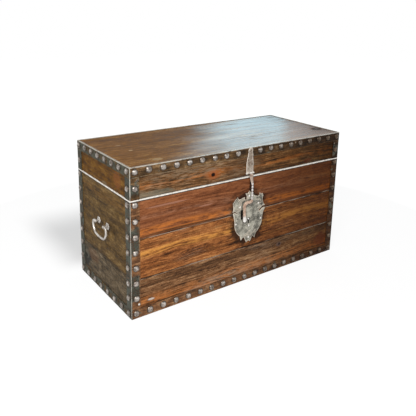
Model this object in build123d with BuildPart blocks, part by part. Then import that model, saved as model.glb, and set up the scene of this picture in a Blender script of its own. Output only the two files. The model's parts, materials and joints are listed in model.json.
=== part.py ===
"""Strapped plank chest: a low wooden trunk bound with iron and studded with dome nails.

Millimetres. +X runs to the chest's right, +Y to its back, +Z up. The origin is the middle of the underside,
so the chest stands on Z = 0. The front is the side with the hasp and the lock plate.
"""
from build123d import *
from collections import namedtuple
import os

os.makedirs("parts", exist_ok=True)

# ---------------------------------------------------------------- carcass
chest_width = 1020.0  # over the iron, along X
chest_depth = 444.0  # over the iron, along Y
chest_height = 558.0
joint_height = 443.0  # level where the lid meets the base
joint_gap = 0.3  # daylight between the lid's underside and the rim
wall_board = 22.0  # thickness of the wall planks and lid rails
top_board = 22.0
floor_board = 20.0
lower_seam = 145.0  # heights of the seams in the front and back walls
upper_seam = 296.0
side_seam = 150.0
top_board_count = 3
floor_board_count = 3
seam_ease = 1.0  # chamfer along each show edge, which makes the seams read as V grooves

# ---------------------------------------------------------------- iron straps
iron = 1.5  # thickness of every strap
strap_width = 36.0
lid_lip = 6.0  # how far the lid's edge straps fold over onto the top
rim_lip = 7.0  # how far the rim strip folds down over the wall
fold_radius = 1.0

# ---------------------------------------------------------------- nails
dome_radius = 12.5
dome_height = 8.0
dome_shank_radius = 1.5
dome_shank_length = 16.0
small_head_radius = 4.0
small_head_height = 1.8
small_shank_radius = 1.2
small_shank_length = 12.0
nail_clearance = 0.05
nail_inset = 19.0  # nail rows to the nearest outer edge
column_count = 8  # dome nails up each base corner, on each face
long_row_count = 19  # dome nails along the front and back
short_row_count = 8  # dome nails along the sides
tack_inset = 27.0  # small nails of the lid's front corners, from the side edge
stray_left_count = 14  # the lone small nail of the lid's front has so many of its row to its left
stray_drop = 12.0  # and this far below the lid's top
stray_base_inset = 30.0  # lone small nail of the base's front, from the left edge
stray_base_height = 52.0

# ---------------------------------------------------------------- back hinges
hinge_spacing = 600.0  # between the middles of the two hinges
hinge_width = 60.0
hinge_iron = 2.5
hinge_leaf_length = 50.0
hinge_tip_radius = 12.0
knuckle_count = 5
knuckle_radius = 4.5
knuckle_gap = 0.4  # sideways, between neighbouring knuckles
knuckle_room = 0.5  # round the knuckles, to wood, rim and the other leaf
hinge_pin_radius = 2.0
pin_clearance = 0.06  # radial, a shaft turning in its bore
pin_head_radius = 3.2
pin_head_height = 1.5
hinge_nails = [(-20.0, 22.0), (20.0, 22.0), (0.0, 54.0)]  # across, and away from the pin

# ---------------------------------------------------------------- hasp
hasp_x = 5.5  # middle of the strap and of its barrel
arm_x = 10.5  # middle of the arm's own knuckle and of the blade's top
rod_x = 17.0  # the arm leans, so that its rod hangs to the right
hasp_iron = 2.5
hasp_foot_half = 16.5  # half width at the knuckles
hasp_belly_half = 17.0  # half width at its widest
hasp_neck_half = 11.5  # half width under the eye
hasp_eye_radius = 11.0
hasp_top_margin = 1.0  # eye below the lid's top
hasp_belly_rise = 38.0  # widest place above the pin
hasp_pin_height = 13.0  # pin above the joint
hasp_barrel_radius = 3.6
hasp_barrel_room = 0.2  # barrel to wood
hasp_pin_radius = 1.75
hasp_knuckle = 13.4  # length of the arm's own knuckle
hasp_nail_aside = 9.0  # the strap's two small nails, each side of its middle
hasp_nail_rise = 34.0  # lower one, above the pin
hasp_nail_drop = 13.0  # upper one, below the edge strap

arm_blade_half = 9.5
arm_blade_end_half = 4.5
arm_blade_iron = 4.0
arm_neck_iron = 2.0  # between the knuckle and the blade, thin so that it clears the strap when swung up
arm_blade_length = 32.0  # from the joint down
arm_blade_room = 1.9  # blade's top below the barrel
knop_count = 5
knop_length = 6.8
knop_core_radius = 3.6
knop_bulge = 1.7
arm_rod_radius = 4.0
arm_rod_stand = 8.0  # rod's centre in front of the wood
hook_drop = 104.0  # centre line of the hook's top run, below the joint
hook_x = -19.5
hook_knee_drop = 153.0
hook_bend = 12.0
hook_width = 12.5
hook_iron = 7.0
hook_stand = 5.5  # back of the hook in front of the wood
foot_x = -15.5
foot_drop = 177.0
foot_radius = 8.0
hook_ease = 1.2

staple_x = -20.5
staple_iron = 4.0
staple_tall = 12.0
staple_drop = 171.0  # its lower edge, below the joint
staple_reach = 6.0  # behind the lock plate's back
staple_tip = 1.8  # iron left beyond the window
staple_window_low = 3.2  # window above the staple's lower edge
staple_window_tall = 5.6

# ---------------------------------------------------------------- lock plate
# across and up are from the middle of its round part
plate_iron = 2.0
plate_x = 10.0
plate_drop = 186.0  # middle of the round part, below the joint
plate_radius = 71.0
plate_head = [  # cut outline above the round part: from the left side over horn, leaf, crest and horns to the right
    (-70.0, 5.0),
    (-73.0, 18.0),
    (-77.0, 34.0),
    (-82.0, 50.0),
    (-79.0, 58.0),
    (-79.0, 70.0),
    (-82.0, 88.0),
    (-75.0, 97.0),
    (-59.0, 109.0),
    (-54.0, 100.0),
    (-49.0, 98.0),
    (-38.0, 100.0),
    (-23.0, 104.0),
    (-24.0, 97.0),
    (-19.0, 90.0),
    (-14.0, 93.0),
    (-14.0, 105.0),
    (-20.0, 118.0),
    (-8.0, 117.0),
    (-1.0, 126.0),
    (7.0, 117.0),
    (16.0, 114.0),
    (21.0, 105.0),
    (31.0, 99.0),
    (43.0, 97.0),
    (51.0, 99.0),
    (52.0, 110.0),
    (59.0, 101.0),
    (67.0, 104.0),
    (72.0, 92.0),
    (68.0, 80.0),
    (71.0, 70.0),
    (75.0, 58.0),
    (82.0, 52.0),
    (81.0, 35.0),
    (74.0, 22.0),
    (71.0, 5.0),
]
plate_drops = [  # leaf points below the round part
    [(-44.0, -52.0), (-36.0, -76.0), (-24.0, -64.0)],
    [(-22.0, -64.0), (-15.0, -78.0), (-8.0, -91.0), (2.0, -84.0), (12.0, -90.0), (17.0, -80.0), (22.0, -64.0)],
    [(18.0, -64.0), (34.0, -79.0), (40.0, -56.0)],
]
plate_slits = [  # slits that part the spurs from the round part
    [(-88.0, 43.0), (-73.0, 47.5), (-57.0, 40.5), (-58.0, 44.0), (-72.0, 52.0), (-88.0, 49.0)],
    [(86.0, 43.5), (70.0, 40.0), (55.0, 30.0), (52.0, 33.0), (56.0, 40.0), (68.0, 48.5), (86.0, 50.0)],
]
plate_nails = [  # across, up
    (-46.0, 66.0),
    (47.0, 66.0),
    (-2.0, 104.0),
    (-64.0, -2.0),
    (62.0, -2.0),
    (1.5, -21.0),
    (2.0, -70.0),
]
slot_left_room = 8.0  # slot beside the staple, wide on the side it is found from
slot_right_room = 1.5
slot_end_room = 2.0  # slot beyond the staple's travel
keyhole_x = 9.5
keyhole_rise = 8.0
keyhole_radius = 6.5
keyhole_slot = 5.5
keyhole_drop = 20.0
drill_pin_radius = 2.2
drill_pin_shy = 0.5  # its end behind the plate's face

# ---------------------------------------------------------------- lock case and bolt
case_left = -50.0
case_right = 44.0
case_drop = 213.0  # its lower edge, below the joint
case_iron = 1.5
case_depth = 15.6
case_room = 0.4  # pocket round the case
guide_iron = 2.0
guide_tall = 20.0
bolt_iron = 2.4
bolt_tall = 4.4
bolt_length = 52.0
bolt_travel = 10.0
bolt_to_staple = 3.5  # gap while withdrawn
bolt_room = 0.3
bolt_setback = 1.3  # bolt's face behind the plate's back
talon_width = 6.0
talon_depth = 1.5

# ---------------------------------------------------------------- side handles
handle_height = 287.0
handle_stand = 15.0  # pivot in front of the wood
eye_spread = 37.0  # eyes, each side of the middle
eye_radius = 6.2
eye_length = 6.0
bail_pin_radius = 3.0
bail_radius = 4.3
bail_pin_tip = 3.0  # pin beyond the eye
bail_side_room = 0.5
bail_outline = [(54.0, 0.0), (56.0, -26.0), (39.0, -53.0)]  # corners of the rod's line: across, up from the pivot
bail_bend = 9.0
post_radius = 2.8
clench_length = 28.0
clench_width = 3.0
clench_iron = 2.5
rosette_iron = 2.5
rosette_core = 9.0
petal_count = 6
petal_radius = 4.6
petal_ring = 9.5

# ---------------------------------------------------------------- places worked out from the sizes above
half_width = chest_width / 2
half_depth = chest_depth / 2
wood_half_width = half_width - iron
wood_half_depth = half_depth - iron
inner_half_width = wood_half_width - wall_board
inner_half_depth = wood_half_depth - wall_board
base_top = joint_height - joint_gap / 2
base_wood_top = base_top - iron
lid_bottom = joint_height + joint_gap / 2
lid_wood_top = chest_height - iron
lid_rail_top = lid_wood_top - top_board
rim_low = base_top - rim_lip
edge_strap_low = chest_height - strap_width

hinge_y = wood_half_depth + knuckle_room + knuckle_radius
hasp_pin_y = -wood_half_depth - hasp_barrel_room - hasp_barrel_radius
hasp_pin_z = joint_height + hasp_pin_height
staple_end_y = -wood_half_depth + staple_reach
hook_level = joint_height - hook_drop
staple_low = joint_height - staple_drop
staple_top = staple_low + staple_tall
staple_rise = (staple_reach + plate_iron) * (hinge_y - staple_end_y) / (joint_height - staple_top)
slot_low = staple_low - slot_end_room
slot_high = staple_top + staple_rise + slot_end_room
slot_left = staple_x - staple_iron / 2 - slot_left_room
slot_right = staple_x + staple_iron / 2 + slot_right_room
case_low = joint_height - case_drop
case_high = slot_high + case_iron + slot_end_room
plate_level = joint_height - plate_drop
keyhole_height = plate_level + keyhole_rise
window_low = staple_low + staple_window_low
bolt_z = window_low + staple_window_tall / 2
bolt_y = -wood_half_depth + bolt_setback + bolt_iron / 2
bolt_left = staple_x + staple_iron / 2 + bolt_to_staple
handle_x = wood_half_width + handle_stand

# Each wall seen from outside: the plane lies on the iron's face, x runs along the wall and y is height.
FACES = {
    "front": Plane(origin=(0, -half_depth, 0), x_dir=(1, 0, 0), z_dir=(0, -1, 0)),
    "back": Plane(origin=(0, half_depth, 0), x_dir=(-1, 0, 0), z_dir=(0, 1, 0)),
    "left": Plane(origin=(-half_width, 0, 0), x_dir=(0, -1, 0), z_dir=(-1, 0, 0)),
    "right": Plane(origin=(half_width, 0, 0), x_dir=(0, 1, 0), z_dir=(1, 0, 0)),
}
FACE_HALF = {"front": half_width, "back": half_width, "left": half_depth, "right": half_depth}
ROW_COUNT = {"front": long_row_count, "back": long_row_count, "left": short_row_count, "right": short_row_count}
FRONT_WOOD = FACES["front"].offset(-iron)
BACK_WOOD = FACES["back"].offset(-iron)

NailStyle = namedtuple("NailStyle", "head_radius head_height shank_radius shank_length")
DOME = NailStyle(dome_radius, dome_height, dome_shank_radius, dome_shank_length)
SMALL = NailStyle(small_head_radius, small_head_height, small_shank_radius, small_shank_length)
# along: place along the wall; height: above the floor; stand: the head's seat in front of the iron's face
Nail = namedtuple("Nail", "style face along height stand")


def save(piece, name):
    """Name the finished piece and write it as its own STEP file."""
    piece.part.label = name
    export_step(piece.part, f"parts/{name}.step")


def spaced(low, high, count):
    """Evenly spaced values from low to high, both included."""
    return [low + (high - low) * i / (count - 1) for i in range(count)]


# ---------------------------------------------------------------- where the nails go
def corner_rows(face):
    """The two places along a wall where the corner nails stand."""
    reach = FACE_HALF[face] - nail_inset
    return (-reach, reach)


def row_along(face):
    """The places of a wall's nail row, corner nails included."""
    reach = FACE_HALF[face] - nail_inset
    return spaced(-reach, reach, ROW_COUNT[face])


column_heights = spaced(nail_inset, joint_height - nail_inset, column_count)
base_domes = [Nail(DOME, face, u, z, 0.0) for face in FACES for u in corner_rows(face) for z in column_heights]
base_domes += [Nail(DOME, face, u, nail_inset, 0.0) for face in FACES for u in row_along(face)[1:-1]]

lid_row_height = chest_height - nail_inset
hasp_keep_out = hasp_belly_half + dome_radius
lid_domes = [
    Nail(DOME, face, u, lid_row_height, 0.0)
    for face in FACES
    for u in row_along(face)
    if face != "front" or abs(u - hasp_x) > hasp_keep_out
]
lid_corner_height = (lid_bottom + edge_strap_low) / 2
lid_domes += [Nail(DOME, face, u, lid_corner_height, 0.0) for face in FACES for u in corner_rows(face)]

hinge_middles = (-hinge_spacing / 2, hinge_spacing / 2)
hinge_stand = hinge_iron - iron
plate_stand = plate_iron - iron
base_smalls = [
    Nail(SMALL, "back", middle + u, joint_height - away, hinge_stand)
    for middle in hinge_middles
    for u, away in hinge_nails
]
base_smalls += [Nail(SMALL, "front", plate_x + u, plate_level + up, plate_stand) for u, up in plate_nails]
base_smalls += [Nail(SMALL, "front", stray_base_inset - half_width, stray_base_height, 0.0)]

lid_smalls = [
    Nail(SMALL, "back", middle + u, joint_height + away, hinge_stand)
    for middle in hinge_middles
    for u, away in hinge_nails
]
hasp_eye_height = chest_height - hasp_top_margin - hasp_eye_radius
lid_smalls += [Nail(SMALL, "front", hasp_x, hasp_eye_height, hasp_iron)]
hasp_stand = hasp_iron - iron
lid_smalls += [Nail(SMALL, "front", hasp_x - hasp_nail_aside, edge_strap_low - hasp_nail_drop, hasp_stand)]
lid_smalls += [Nail(SMALL, "front", hasp_x + hasp_nail_aside, hasp_pin_z + hasp_nail_rise, hasp_stand)]
tack_height = (lid_row_height + lid_corner_height) / 2
tack_reach = half_width - tack_inset
lid_smalls += [Nail(SMALL, "front", u, tack_height, 0.0) for u in (-tack_reach, tack_reach)]
stray_places = row_along("front")[stray_left_count - 1 : stray_left_count + 1]
lid_smalls += [Nail(SMALL, "front", sum(stray_places) / 2, chest_height - stray_drop, 0.0)]

base_nails = base_domes + base_smalls
lid_nails = lid_domes + lid_smalls


def seat(nail):
    """The plane that a nail's head sits on, pointing outwards, with its origin at the nail."""
    face = FACES[nail.face]
    origin = face.from_local_coords((nail.along, nail.height, nail.stand))
    return Plane(origin=origin, x_dir=face.x_dir, z_dir=face.z_dir)


def reaches(nail, box):
    """True where a nail's shank runs into the box."""
    head = seat(nail).origin
    tip = seat(nail).from_local_coords((0, 0, -nail.style.shank_length))
    margin = nail.style.shank_radius + nail_clearance
    low = (min(head.X, tip.X) - margin, min(head.Y, tip.Y) - margin, min(head.Z, tip.Z) - margin)
    high = (max(head.X, tip.X) + margin, max(head.Y, tip.Y) + margin, max(head.Z, tip.Z) + margin)
    above = low[0] < box.max.X and low[1] < box.max.Y and low[2] < box.max.Z
    return above and high[0] > box.min.X and high[1] > box.min.Y and high[2] > box.min.Z


def drill(piece, nails):
    """Cut the holes of the nails that reach into a piece, one cut for each wall and kind of seat."""
    box = piece.part.bounding_box()
    hits = [nail for nail in nails if reaches(nail, box)]
    for face, style, stand in sorted({(nail.face, nail.style, nail.stand) for nail in hits}):
        group = [nail for nail in hits if (nail.face, nail.style, nail.stand) == (face, style, stand)]
        with BuildSketch(FACES[face].offset(stand)) as holes:
            with Locations(*[(nail.along, nail.height) for nail in group]):
                Circle(style.shank_radius + nail_clearance)
        extrude(holes.sketch, amount=-style.shank_length, mode=Mode.SUBTRACT)


def nail_form(style):
    """One nail standing on Z = 0: a domed head above, a round shank below."""
    with BuildPart() as form:
        with BuildSketch(Plane.XZ):
            with BuildLine():
                TangentArc((0, style.head_height), (style.head_radius, 0), tangent=(1, 0))
                Polyline(
                    (style.head_radius, 0),
                    (style.shank_radius, 0),
                    (style.shank_radius, -style.shank_length),
                    (0, -style.shank_length),
                    (0, style.head_height),
                )
            make_face()
        revolve(axis=Axis.Z)
    return form.part


def nail_group(name, nails):
    """All nails of one kind on one body, as a group of separate solids."""
    form = nail_form(nails[0].style)
    with BuildPart() as group:
        with Locations(*[seat(nail) for nail in nails]):
            add(form)
    save(group, name)


# ---------------------------------------------------------------- boards
def board(name, x_span, y_span, z_span, show_face, run, nails, pocket=False):
    """A rectangular board with its show edges eased along the run, and its nail holes.

    show_face is the outward direction of the face that shows, run the direction of the grain.
    """
    with BuildPart() as piece:
        with BuildSketch(Plane.XY.offset(z_span[0])):
            with Locations(((x_span[0] + x_span[1]) / 2, (y_span[0] + y_span[1]) / 2)):
                Rectangle(x_span[1] - x_span[0], y_span[1] - y_span[0])
        extrude(amount=z_span[1] - z_span[0])
        show = piece.faces().sort_by(Axis((0, 0, 0), show_face))[-1]
        chamfer(show.edges().filter_by(Axis((0, 0, 0), run)), seam_ease)
        drill(piece, nails)
        if pocket:
            lock_pocket()
        if show_face[0] != 0:
            post_holes()
    save(piece, name)


def lock_pocket():
    """Cut the mortise that the lock case lies in."""
    with BuildSketch(FRONT_WOOD) as mouth:
        with Locations(((case_left + case_right) / 2, (case_low + case_high) / 2)):
            Rectangle(case_right - case_left + 2 * case_room, case_high - case_low + 2 * case_room)
    extrude(mouth.sketch, amount=-(case_depth + case_room), mode=Mode.SUBTRACT)


def post_holes():
    """Cut the holes that the handle posts pass through, in both side walls."""
    with BuildSketch(Plane.YZ) as holes:
        with Locations((-eye_spread, handle_height), (eye_spread, handle_height)):
            Circle(post_radius + nail_clearance)
    extrude(holes.sketch, amount=half_width, both=True, mode=Mode.SUBTRACT)


def base_walls():
    """Three planks in the front and the back, two in each side between them."""
    across = (-wood_half_width, wood_half_width)
    long_levels = (0.0, lower_seam, upper_seam, base_wood_top)
    for wall, outward in (("front", -1), ("back", 1)):
        y_span = sorted((outward * inner_half_depth, outward * wood_half_depth))
        for i, level in enumerate(("bottom", "middle", "top")):
            z_span = long_levels[i : i + 2]
            pocket = wall == "front" and z_span[0] < case_high and z_span[1] > case_low
            name = f"base_{wall}_plank_{level}"
            board(name, across, y_span, z_span, (0, outward, 0), (1, 0, 0), base_nails, pocket)
    between = (-inner_half_depth, inner_half_depth)
    side_levels = (0.0, side_seam, base_wood_top)
    for wall, outward in (("left", -1), ("right", 1)):
        x_span = sorted((outward * inner_half_width, outward * wood_half_width))
        for i, level in enumerate(("bottom", "top")):
            name = f"base_{wall}_plank_{level}"
            board(name, x_span, between, side_levels[i : i + 2], (outward, 0, 0), (0, 1, 0), base_nails)


def floor_boards():
    """Boards side by side between the walls, flush with the underside."""
    across = (-inner_half_width, inner_half_width)
    edges = spaced(-inner_half_depth, inner_half_depth, floor_board_count + 1)
    for i in range(floor_board_count):
        board(f"floor_board_{i + 1}", across, edges[i : i + 2], (0.0, floor_board), (0, 0, 1), (1, 0, 0), [])


def lid_boards():
    """Four rails round the lid, and the top boards over them."""
    rail_span = (lid_bottom, lid_rail_top)
    across = (-wood_half_width, wood_half_width)
    between = (-inner_half_depth, inner_half_depth)
    for wall, outward in (("front", -1), ("back", 1)):
        y_span = sorted((outward * inner_half_depth, outward * wood_half_depth))
        board(f"lid_{wall}_rail", across, y_span, rail_span, (0, outward, 0), (1, 0, 0), lid_nails)
    for wall, outward in (("left", -1), ("right", 1)):
        x_span = sorted((outward * inner_half_width, outward * wood_half_width))
        with BuildPart() as rail:
            with BuildSketch(Plane.XY.offset(rail_span[0])):
                with Locations((sum(x_span) / 2, 0)):
                    Rectangle(wall_board, between[1] - between[0])
            extrude(amount=rail_span[1] - rail_span[0])
            drill(rail, lid_nails)
        save(rail, f"lid_{wall}_rail")
    edges = spaced(-wood_half_depth, wood_half_depth, top_board_count + 1)
    for i in range(top_board_count):
        z_span = (lid_rail_top, lid_wood_top)
        board(f"lid_top_board_{i + 1}", across, edges[i : i + 2], z_span, (0, 0, 1), (1, 0, 0), lid_nails)


# ---------------------------------------------------------------- straps
def corner_angle(name, x_sign, y_sign, z_span, nails):
    """A folded strap up one corner, with a flange on each wall."""
    x_edge = x_sign * half_width
    y_edge = y_sign * half_depth
    with BuildPart() as angle:
        with BuildSketch(Plane.XY.offset(z_span[0])):
            with Locations((x_edge - x_sign * strap_width / 2, y_edge - y_sign * iron / 2)):
                Rectangle(strap_width, iron)
            with Locations((x_edge - x_sign * iron / 2, y_edge - y_sign * strap_width / 2)):
                Rectangle(iron, strap_width)
        extrude(amount=z_span[1] - z_span[0])
        fold = angle.edges().filter_by(Axis.Z).sort_by_distance((x_edge, y_edge, sum(z_span) / 2))[0]
        fillet(fold, fold_radius)
        drill(angle, nails)
    save(angle, name)


def corner_angles():
    """Four angles on the base, below the rim, and four on the lid, below its edge straps."""
    lid_span = (lid_bottom, edge_strap_low)
    for y_side, y_sign in (("front", -1), ("back", 1)):
        for x_side, x_sign in (("left", -1), ("right", 1)):
            corner_angle(f"base_corner_{y_side}_{x_side}", x_sign, y_sign, (0.0, rim_low), base_nails)
            corner_angle(f"lid_corner_{y_side}_{x_side}", x_sign, y_sign, lid_span, lid_nails)


def bottom_strips():
    """A flat strap along the foot of each wall, between the corner angles."""
    for face, plane in FACES.items():
        length = 2 * (FACE_HALF[face] - strap_width)
        with BuildPart() as strip:
            with BuildSketch(plane):
                with Locations((0, strap_width / 2)):
                    Rectangle(length, strap_width)
            extrude(amount=-iron)
            drill(strip, base_nails)
        save(strip, f"base_bottom_strip_{face}")


def mitred_band(face, level, width):
    """A flat band along one wall's outer edge at a level, mitred at both ends, as a sketch seen from above."""
    wall = FACES[face]
    half = FACE_HALF[face]
    plane = Plane(origin=wall.from_local_coords((0, level, 0)), x_dir=wall.x_dir, z_dir=(0, 0, 1))
    with BuildSketch(plane) as band:
        with BuildLine():
            Polyline((-half, 0), (half, 0), (half - width, width), (-half + width, width), close=True)
        make_face()
    return band.sketch


def rim_strips():
    """The bright strips that cap the base's walls and fold down over them, notched at the hinges."""
    for face in FACES:
        with BuildPart() as strip:
            extrude(mitred_band(face, base_wood_top, wall_board + iron), amount=iron)
            extrude(mitred_band(face, rim_low, iron), amount=rim_lip)
            if face == "back":
                with BuildSketch(BACK_WOOD) as notches:
                    with Locations(*[(middle, (rim_low + base_top) / 2) for middle in hinge_middles]):
                        Rectangle(hinge_width + 2 * knuckle_room, rim_lip)
                extrude(notches.sketch, amount=iron, mode=Mode.SUBTRACT)
        save(strip, f"base_rim_strip_{face}")


def edge_straps():
    """The straps round the lid's top edge: a wide flange on the wall and a narrow lip on the top."""
    for face in FACES:
        with BuildPart() as strap:
            extrude(mitred_band(face, edge_strap_low, iron), amount=strap_width)
            extrude(mitred_band(face, lid_wood_top, lid_lip), amount=iron)
            drill(strap, lid_nails)
        save(strap, f"lid_edge_strap_{face}")


# ---------------------------------------------------------------- back hinges
def knuckle_start(index):
    """Where a knuckle begins, along the pin from the hinge's middle."""
    return (index - knuckle_count / 2) * hinge_width / knuckle_count + knuckle_gap / 2


knuckle_length = hinge_width / knuckle_count - knuckle_gap


def hinge_leaf(name, middle, upward, knuckles, nails):
    """One leaf of a hinge: a plate on the wood, tongues beside the pin, and rolled knuckles round it."""
    start = knuckle_radius + knuckle_room
    plane = Plane(origin=(middle, wood_half_depth, joint_height), x_dir=(-1, 0, 0), z_dir=(0, 1, 0))
    with BuildPart() as leaf:
        with BuildSketch(plane):
            with Locations((0, upward * (start + hinge_leaf_length / 2))):
                Rectangle(hinge_width, hinge_leaf_length)
            with Locations((0, upward * (start + hinge_leaf_length))):
                Circle(hinge_tip_radius)
            for index in knuckles:
                with Locations((knuckle_start(index) + knuckle_length / 2, upward * start / 2)):
                    Rectangle(knuckle_length, start)
        extrude(amount=hinge_iron)
        for index in knuckles:
            with BuildSketch(Plane.YZ.offset(middle + knuckle_start(index))):
                with Locations((hinge_y, joint_height)):
                    Circle(knuckle_radius)
            extrude(amount=knuckle_length)
        with BuildSketch(Plane.YZ.offset(middle)):
            with Locations((hinge_y, joint_height)):
                Circle(hinge_pin_radius + pin_clearance)
        extrude(amount=hinge_width, both=True, mode=Mode.SUBTRACT)
        drill(leaf, nails)
    save(leaf, name)


def headed_pin(middle, y, z, radius, length, head_radius, head_height):
    """A pin along X with a head at each end, in the part being built."""
    for offset, size, reach in (
        (-length / 2, radius, length),
        (-length / 2 - head_height, head_radius, head_height),
        (length / 2, head_radius, head_height),
    ):
        with BuildSketch(Plane.YZ.offset(middle + offset)) as section:
            with Locations((y, z)):
                Circle(size)
        extrude(section.sketch, amount=reach)


def hinges():
    """Two hinges on the back, each a base leaf, a lid leaf and a pin."""
    for side, middle in zip(("left", "right"), hinge_middles):
        hinge_leaf(f"{side}_hinge_base_leaf", middle, -1, range(0, knuckle_count, 2), base_smalls)
        hinge_leaf(f"{side}_hinge_lid_leaf", middle, 1, range(1, knuckle_count, 2), lid_smalls)
    with BuildPart() as pins:
        for middle in hinge_middles:
            headed_pin(
                middle, hinge_y, joint_height, hinge_pin_radius, hinge_width, pin_head_radius, pin_head_height
            )
    save(pins, "hinge_pins")


# ---------------------------------------------------------------- hasp
def hasp_strap():
    """The strap on the lid's front: it steps over the edge strap and ends in the two outer knuckles."""
    wood = -wood_half_depth
    over = -half_depth
    top = chest_height - hasp_top_margin
    with BuildPart() as strap:
        with BuildSketch(Plane.YZ.offset(hasp_x - hasp_belly_half)):
            with BuildLine():
                Polyline(
                    (over, top),
                    (over, edge_strap_low),
                    (wood, edge_strap_low - iron),
                    (wood, hasp_pin_z),
                    (wood - hasp_iron, hasp_pin_z),
                    (wood - hasp_iron, edge_strap_low - iron),
                    (over - hasp_iron, edge_strap_low),
                    (over - hasp_iron, top),
                    close=True,
                )
            make_face()
        extrude(amount=2 * hasp_belly_half)
        with BuildSketch(FRONT_WOOD):
            with BuildLine():
                Polyline(
                    (hasp_x - hasp_foot_half, hasp_pin_z),
                    (hasp_x + hasp_foot_half, hasp_pin_z),
                    (hasp_x + hasp_belly_half, hasp_pin_z + hasp_belly_rise),
                    (hasp_x + hasp_neck_half, hasp_eye_height - hasp_eye_radius),
                    (hasp_x + hasp_eye_radius / 2, hasp_eye_height),
                    (hasp_x - hasp_eye_radius / 2, hasp_eye_height),
                    (hasp_x - hasp_neck_half, hasp_eye_height - hasp_eye_radius),
                    (hasp_x - hasp_belly_half, hasp_pin_z + hasp_belly_rise),
                    close=True,
                )
            make_face()
            with Locations((hasp_x, hasp_eye_height)):
                Circle(hasp_eye_radius)
        extrude(amount=half_depth, both=True, mode=Mode.INTERSECT)
        with BuildSketch(Plane.YZ.offset(hasp_x - hasp_foot_half)):
            with Locations((hasp_pin_y, hasp_pin_z)):
                Circle(hasp_barrel_radius)
        extrude(amount=2 * hasp_foot_half)
        with BuildSketch(FRONT_WOOD):
            with Locations((arm_x, hasp_pin_z)):
                Rectangle(hasp_knuckle + 2 * knuckle_gap, 2 * (hasp_barrel_radius + knuckle_room))
        extrude(amount=chest_depth, both=True, mode=Mode.SUBTRACT)
        with BuildSketch(Plane.YZ.offset(hasp_x)):
            with Locations((hasp_pin_y, hasp_pin_z)):
                Circle(hasp_pin_radius + pin_clearance)
        extrude(amount=hasp_belly_half, both=True, mode=Mode.SUBTRACT)
        drill(strap, lid_smalls)
    save(strap, "hasp_strap")


def hasp_pin():
    """The pin through the hasp's three knuckles."""
    hasp_pin_length = 2 * (hasp_foot_half + knuckle_gap)
    with BuildPart() as pin:
        headed_pin(
            hasp_x, hasp_pin_y, hasp_pin_z, hasp_pin_radius, hasp_pin_length, hasp_barrel_radius, pin_head_height
        )
    save(pin, "hasp_pin")


def hasp_arm():
    """The swinging arm: knuckle, tapering blade, knopped stretch, round rod and hooked foot."""
    blade_top = hasp_pin_z - hasp_barrel_radius - arm_blade_room
    blade_low = joint_height - arm_blade_length
    knop_low = blade_low - knop_count * knop_length
    rod_y = -wood_half_depth - arm_rod_stand
    with BuildPart() as arm:
        with BuildSketch(FRONT_WOOD.offset(hook_stand)):
            with BuildLine():
                FilletPolyline(
                    (rod_x + arm_rod_radius, hook_level),
                    (hook_x, hook_level),
                    (hook_x, joint_height - hook_knee_drop),
                    (foot_x, joint_height - foot_drop),
                    radius=hook_bend,
                )
            trace(line_width=hook_width)
            with Locations((foot_x, joint_height - foot_drop)):
                Circle(foot_radius)
        extrude(amount=hook_iron)
        hook_front = arm.faces().sort_by(Axis.Y)[0]
        chamfer(hook_front.edges(), hook_ease)
        with BuildSketch(Plane.YZ.offset(arm_x - hasp_knuckle / 2)):
            with Locations((hasp_pin_y, hasp_pin_z)):
                Circle(hasp_barrel_radius)
        extrude(amount=hasp_knuckle)
        blade_back = Plane(origin=(0, hasp_pin_y, 0), x_dir=(1, 0, 0), z_dir=(0, -1, 0))
        with BuildSketch(blade_back):
            with BuildLine():
                Polyline(
                    (arm_x - arm_blade_half, blade_top),
                    (rod_x - arm_blade_end_half, blade_low),
                    (rod_x + arm_blade_end_half, blade_low),
                    (arm_x + arm_blade_half, blade_top),
                    close=True,
                )
            make_face()
        extrude(amount=arm_blade_iron)
        with BuildSketch(blade_back):
            with Locations((arm_x, (hasp_pin_z + blade_top) / 2)):
                Rectangle(hasp_knuckle, hasp_pin_z - blade_top)
        extrude(amount=arm_neck_iron)
        with BuildSketch(Plane.YZ.offset(arm_x)):
            with Locations((hasp_pin_y, hasp_pin_z)):
                Circle(hasp_pin_radius + pin_clearance)
        extrude(amount=hasp_knuckle, both=True, mode=Mode.SUBTRACT)
        with BuildSketch(Plane(origin=(rod_x, rod_y, 0), x_dir=(1, 0, 0), z_dir=(0, -1, 0))):
            with BuildLine():
                for i in range(knop_count):
                    high = blade_low - i * knop_length
                    middle = (knop_core_radius + knop_bulge, high - knop_length / 2)
                    ThreePointArc((knop_core_radius, high), middle, (knop_core_radius, high - knop_length))
                Polyline((knop_core_radius, knop_low), (0, knop_low), (0, blade_low), (knop_core_radius, blade_low))
            make_face()
        revolve(axis=Axis((rod_x, rod_y, 0), (0, 0, 1)))
        with BuildSketch(Plane.XY.offset(hook_level)):
            with Locations((rod_x, rod_y)):
                Circle(arm_rod_radius)
        extrude(amount=knop_low + knop_length - hook_level)
    save(arm, "hasp_arm")


def hasp_staple():
    """The staple on the back of the hook's foot: a bar with a window for the bolt."""
    with BuildPart() as staple:
        with BuildSketch(Plane.YZ.offset(staple_x - staple_iron / 2)):
            with BuildLine():
                Polyline(
                    (-wood_half_depth - hook_stand, staple_low),
                    (staple_end_y, staple_low),
                    (staple_end_y, staple_top),
                    (-wood_half_depth - hook_stand, staple_top),
                    close=True,
                )
            make_face()
            window_end = staple_end_y - staple_tip
            window_start = -wood_half_depth + bolt_room
            with Locations(((window_start + window_end) / 2, bolt_z)):
                Rectangle(window_end - window_start, staple_window_tall, mode=Mode.SUBTRACT)
        extrude(amount=staple_iron)
    save(staple, "hasp_staple")


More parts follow.
